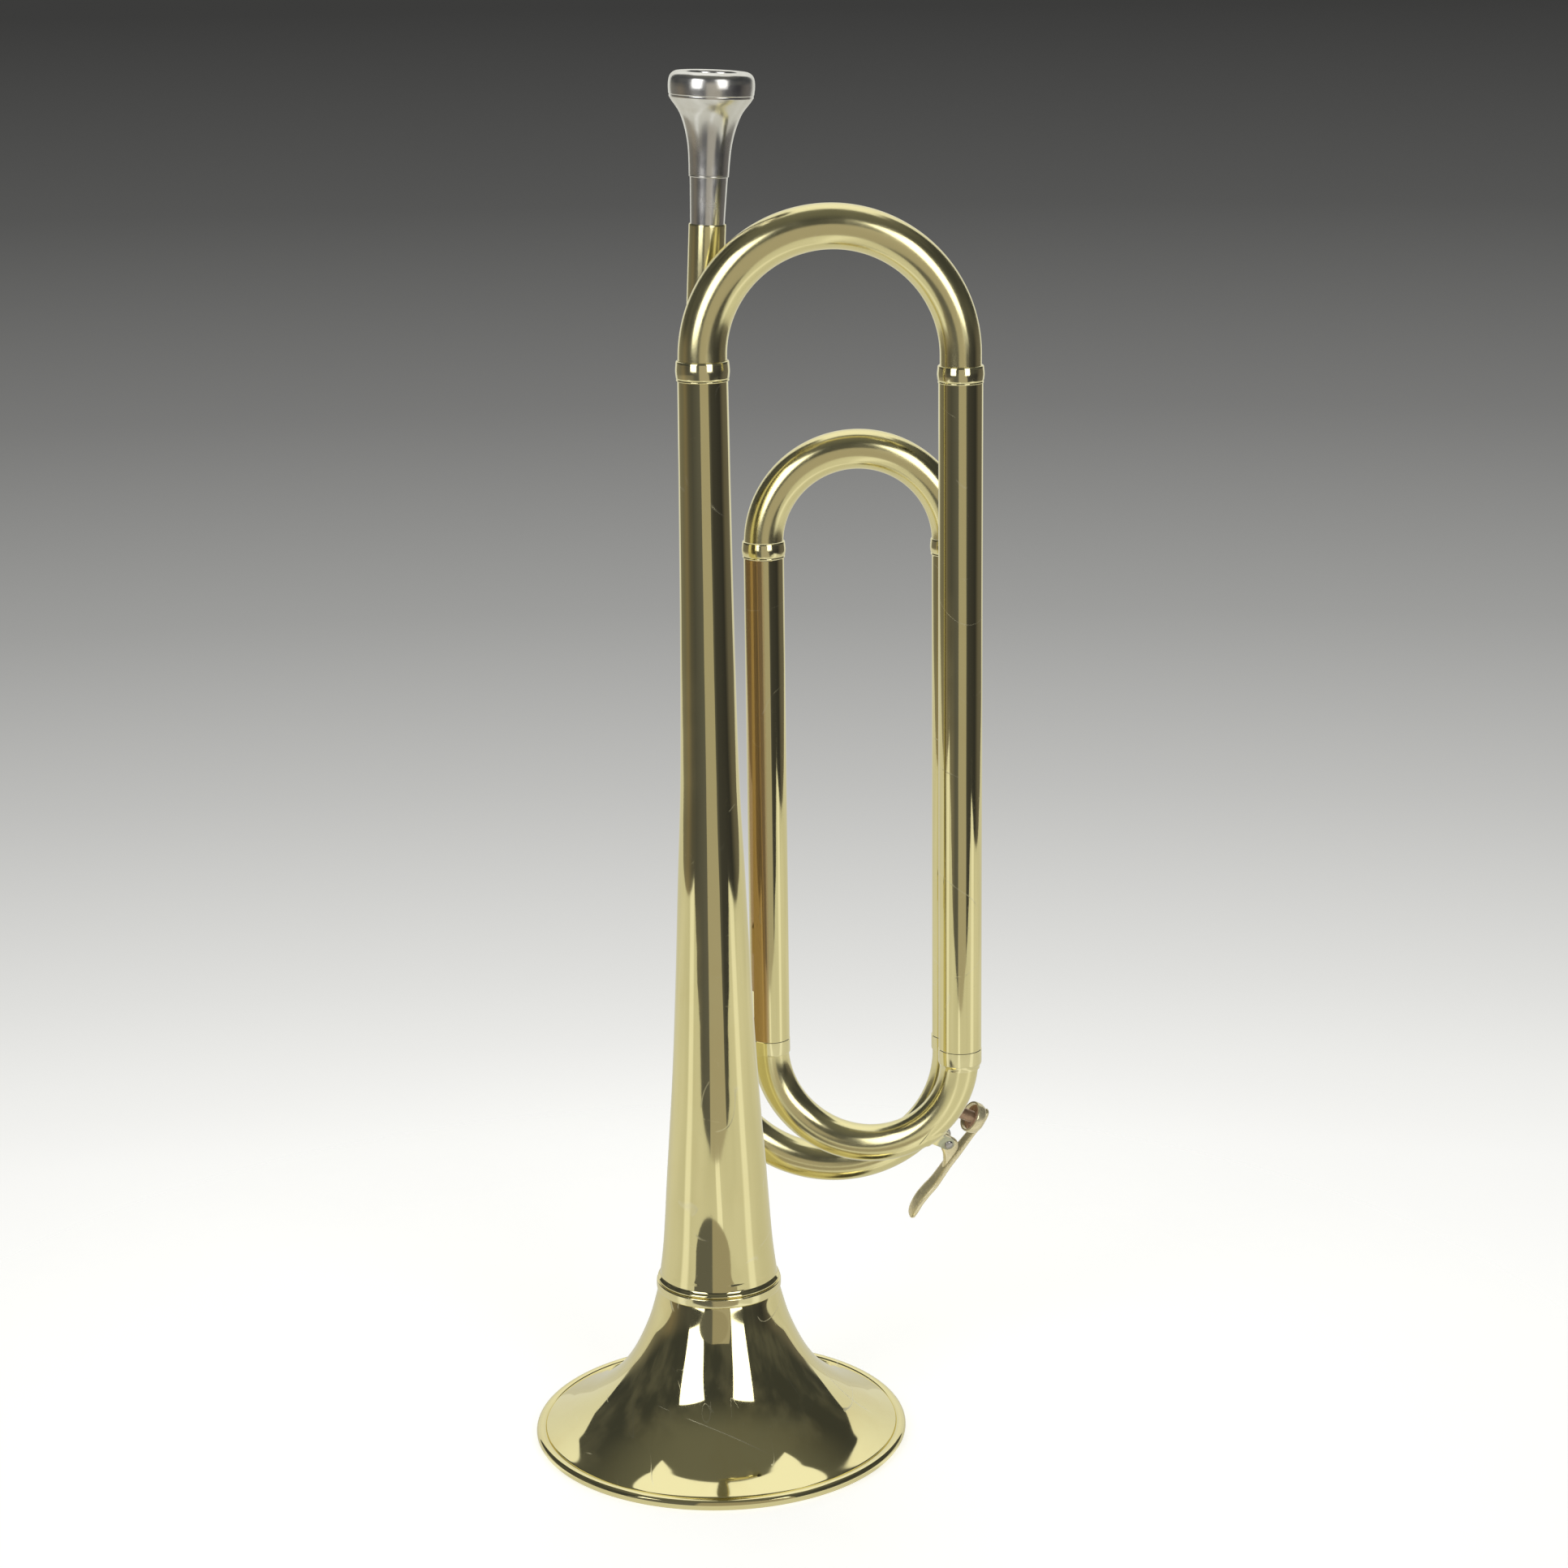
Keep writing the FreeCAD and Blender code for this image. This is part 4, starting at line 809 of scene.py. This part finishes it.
def world_gradient():
    """Camera sees a plain sweep, white below and grey above; metal sees a dark room with a white back."""
    world = bpy.data.worlds.new("studio")
    bpy.context.scene.world = world
    world.use_nodes = True
    tree = world.node_tree
    tree.nodes.clear()
    output = tree.nodes.new("ShaderNodeOutputWorld")
    direction = tree.nodes.new("ShaderNodeTexCoord").outputs["Generated"]
    x, y, z = node(tree, "ShaderNodeSeparateXYZ", Vector=direction).outputs
    sweep = tree.nodes.new("ShaderNodeValToRGB")
    tree.links.new(times(tree, z, -2.0), sweep.inputs[0])
    levels = [(0.07, 0.045), (0.18, 0.091), (0.295, 0.188), (0.41, 0.337), (0.51, 0.52), (0.616, 0.745),
              (0.66, 0.85), (0.705, 0.935), (0.79, 0.985)]
    place_stops(sweep, [(position, (level, level * 0.998, level * 0.97)) for position, level in levels])

    # overhead the pale sweep runs on as a strip that stops just behind the horn
    overhead_spread, rear_spread, lean = 0.42, 0.80, 0.03
    edge_behind, edge_bend = 0.17, 0.25
    height = math_node(tree, "MAXIMUM", z, 0.0)
    half_width = math_node(tree, "MAXIMUM", times(tree, height, overhead_spread), times(tree, y, rear_spread))
    off_centre = math_node(tree, "ABSOLUTE", minus(tree, x, times(tree, height, lean)))
    in_strip = remap(tree, minus(tree, half_width, off_centre), -0.004, 0.006)
    dip = minus(tree, edge_behind, times(tree, times(tree, x, x), edge_bend))
    past_edge = remap(tree, minus(tree, y, times(tree, height, dip)), -0.006, 0.008)
    behind = times(tree, in_strip, past_edge)
    glow = mix_color(tree, remap(tree, z, 0.2, 0.9), PALE_SWEEP, (1.05, 1.05, 1.0))

    # a dark ceiling above the card and the side walls
    clouds = remap(tree, noise(tree, direction, 3.0, 3.0), 0.4, 0.7)
    ceiling = mix_color(tree, clouds, (0.05, 0.053, 0.055), (0.10, 0.10, 0.095))
    ceiling = mix_color(tree, remap(tree, z, 0.6, 1.0), ceiling, (0.15, 0.15, 0.13))
    low_left = times(tree, remap(tree, z, -0.20, -0.26), remap(tree, x, -0.45, -0.75))
    sides = mix_color(tree, low_left, room_by_heading(tree, x, y), (0.12, 0.105, 0.075), "ADD")
    room = mix_color(tree, remap(tree, z, -0.04, 0.12), sides, ceiling)

    # a grey card straight in front, from the floor to just above the lens
    front = times(tree, y, -1.0)
    left_edge = plus(tree, x, times(tree, front, 0.24))
    widening = plus(tree, times(tree, z, -0.5), 0.40)
    right_edge = minus(tree, times(tree, front, widening), x)
    inside = math_node(tree, "MINIMUM", left_edge, right_edge)
    card = times(tree, remap(tree, inside, -0.012, 0.012), remap(tree, z, 0.24, 0.255, 1.0, 0.0))
    room = mix_color(tree, card, room, (0.42, 0.39, 0.33))
    seen_in_metal = mix_color(tree, behind, room, glow)
    seen_by_camera = tree.nodes.new("ShaderNodeLightPath").outputs["Is Camera Ray"]
    color = mix_color(tree, seen_by_camera, seen_in_metal, sweep.outputs[0])
    background = node(tree, "ShaderNodeBackground", Color=color)
    tree.links.new(background.outputs[0], output.inputs[0])


def panel(name, azimuth, elevation, distance, width, height, radiance):
    """A rectangular light facing the horn; azimuth 0 is in front, positive to the right."""
    light = bpy.data.lights.new(name, "AREA")
    light.shape = "RECTANGLE"
    light.size, light.size_y = width, height
    light.energy = radiance * math.pi * width * height
    item = add_object(name, light)
    az, el = math.radians(azimuth), math.radians(elevation)
    target = Vector((0.02, 0, 0.15))
    towards = Vector((math.sin(az) * math.cos(el), -math.cos(az) * math.cos(el), math.sin(el)))
    item.location = target + towards * distance
    item.rotation_euler = (target - item.location).to_track_quat("-Z", "Y").to_euler()
    item.visible_camera = False


def build_floor():
    """A pale disc that fades into the sweep."""
    fade_start, fade_end = 0.12, 0.42
    mesh = bpy.data.meshes.new("floor")
    work = bmesh.new()
    bmesh.ops.create_grid(work, x_segments=8, y_segments=8, size=1.2)
    work.to_mesh(mesh)
    work.free()
    item = add_object("floor", mesh)
    material, tree, output = blank_material("pale_floor")
    place = tree.nodes.new("ShaderNodeTexCoord").outputs["Object"]
    distance = node(tree, "ShaderNodeVectorMath", operation="LENGTH", n0=place).outputs["Value"]
    paper = mix_color(tree, noise(tree, place, 60.0, 4.0), (0.86, 0.86, 0.85), (0.90, 0.90, 0.89))
    shader = node(tree, "ShaderNodeBsdfPrincipled", Base_Color=paper, Roughness=0.8)
    shader.inputs["Emission Color"].default_value = (1.0, 1.0, 0.985, 1.0)
    shader.inputs["Emission Strength"].default_value = 0.62
    clear = tree.nodes.new("ShaderNodeBsdfTransparent")
    blend = tree.nodes.new("ShaderNodeMixShader")
    tree.links.new(remap(tree, distance, fade_start, fade_end), blend.inputs[0])
    tree.links.new(shader.outputs[0], blend.inputs[1])
    tree.links.new(clear.outputs[0], blend.inputs[2])
    tree.links.new(blend.outputs[0], output.inputs[0])
    mesh.materials.append(material)
    item.visible_glossy = False


def seen_in_metal_only(name, corners, faces, paint):
    """A glowing stage surface that the camera looks through and polished metal reflects."""
    mesh = bpy.data.meshes.new(name)
    mesh.from_pydata(corners, [], faces)
    item = add_object(name, mesh)
    material, tree, output = blank_material(name + "_paint")
    place = tree.nodes.new("ShaderNodeTexCoord").outputs["Object"]
    glow = node(tree, "ShaderNodeEmission", Color=paint(tree, place))
    tree.links.new(glow.outputs[0], output.inputs[0])
    mesh.materials.append(material)
    item.visible_camera = False
    item.visible_diffuse = False
    item.visible_shadow = False


def table_paper(tree, place):
    """Cloudy white, with the soft boxes' glare to both sides and a bright strip towards the right tubes."""
    cloud = remap(tree, noise(tree, place, 2.5, 2.0), 0.35, 0.7)
    color = mix_color(tree, cloud, (0.63, 0.62, 0.54), (0.71, 0.70, 0.63))
    x, y, _ = node(tree, "ShaderNodeSeparateXYZ", Vector=place).outputs
    nearer = times(tree, y, -1.0)
    heading = math_node(tree, "ARCTAN2", math_node(tree, "ABSOLUTE", x), nearer)
    glare = times(tree, remap(tree, heading, 1.0, 1.12), remap(tree, heading, 1.38, 1.26))
    strip_middle = minus(tree, 0.080, times(tree, nearer, 0.14))
    off_middle = math_node(tree, "ABSOLUTE", minus(tree, x, strip_middle))
    beside = minus(tree, off_middle, times(tree, nearer, 0.06))
    strip = times(tree, remap(tree, beside, 0.014, 0.006), remap(tree, nearer, 0.03, 0.06))
    bright = math_node(tree, "MAXIMUM", times(tree, glare, 0.85), strip)
    return mix_color(tree, bright, color, (0.96, 0.96, 0.91))


def box_side(tree, place):
    """Dark on the left and grey on the right of a narrow step."""
    across = node(tree, "ShaderNodeSeparateXYZ", Vector=place).outputs[0]
    return mix_color(tree, remap(tree, across, -0.020, -0.016), (0.13, 0.13, 0.13), (0.36, 0.33, 0.27))


def build_table():
    """The white table round the horn, just below its rim."""
    left, right, front, back, level = -0.82, 0.80, -0.46, 2.0, -0.0008
    corners = [(left, front, level), (right, front, level), (right, back, level), (left, back, level)]
    seen_in_metal_only("table", corners, [(0, 1, 2, 3)], table_paper)


def build_low_box():
    """A low box that stands on the table in front of the horn, highest in its middle."""
    left, right, depth = -0.100, 0.066, -0.10
    height, fall = 0.061, 0.024
    steps = 16
    top = []
    for step in range(steps + 1):
        across = left + (right - left) * step / steps
        share = 2.0 * step / steps - 1.0
        top.append((across, depth, height - fall * abs(share) ** 2.0))
    foot = [(right, depth, 0.0), (left, depth, 0.0)]
    seen_in_metal_only("low_box", top + foot, [tuple(range(steps + 3))], box_side)


def build_camera():
    camera = bpy.data.cameras.new("camera")
    camera.lens = 78.77
    camera.sensor_width = 36.0
    camera.clip_end = 50.0
    camera.dof.use_dof = False
    item = add_object("camera", camera)
    pan = Matrix.Rotation(CAMERA_PAN, 4, "Z")
    tilt = Matrix.Rotation(CAMERA_TILT, 4, "X")
    roll = Matrix.Rotation(CAMERA_ROLL, 4, "Z")
    item.matrix_world = Matrix.Translation(CAMERA_PLACE) @ pan @ tilt @ roll
    bpy.context.scene.camera = item


build_bows()
build_tubes()
build_flare()
build_ring()
build_stem()
build_leadpipe()
build_receiver()
build_mouthpiece()
build_lever()
build_cork_pad()
build_pivot_screw()
build_spring()
keep_out_of_reflections()
paint_kept_nodes()
world_gradient()
build_floor()
build_table()
build_low_box()
panel("softbox_left", -39, 22, 3.0, 1.40, 2.10, 2.6)
panel("softbox_right", 31, 22, 3.0, 1.22, 2.10, 2.6)
build_camera()
bpy.context.scene.view_settings.view_transform = "Standard"
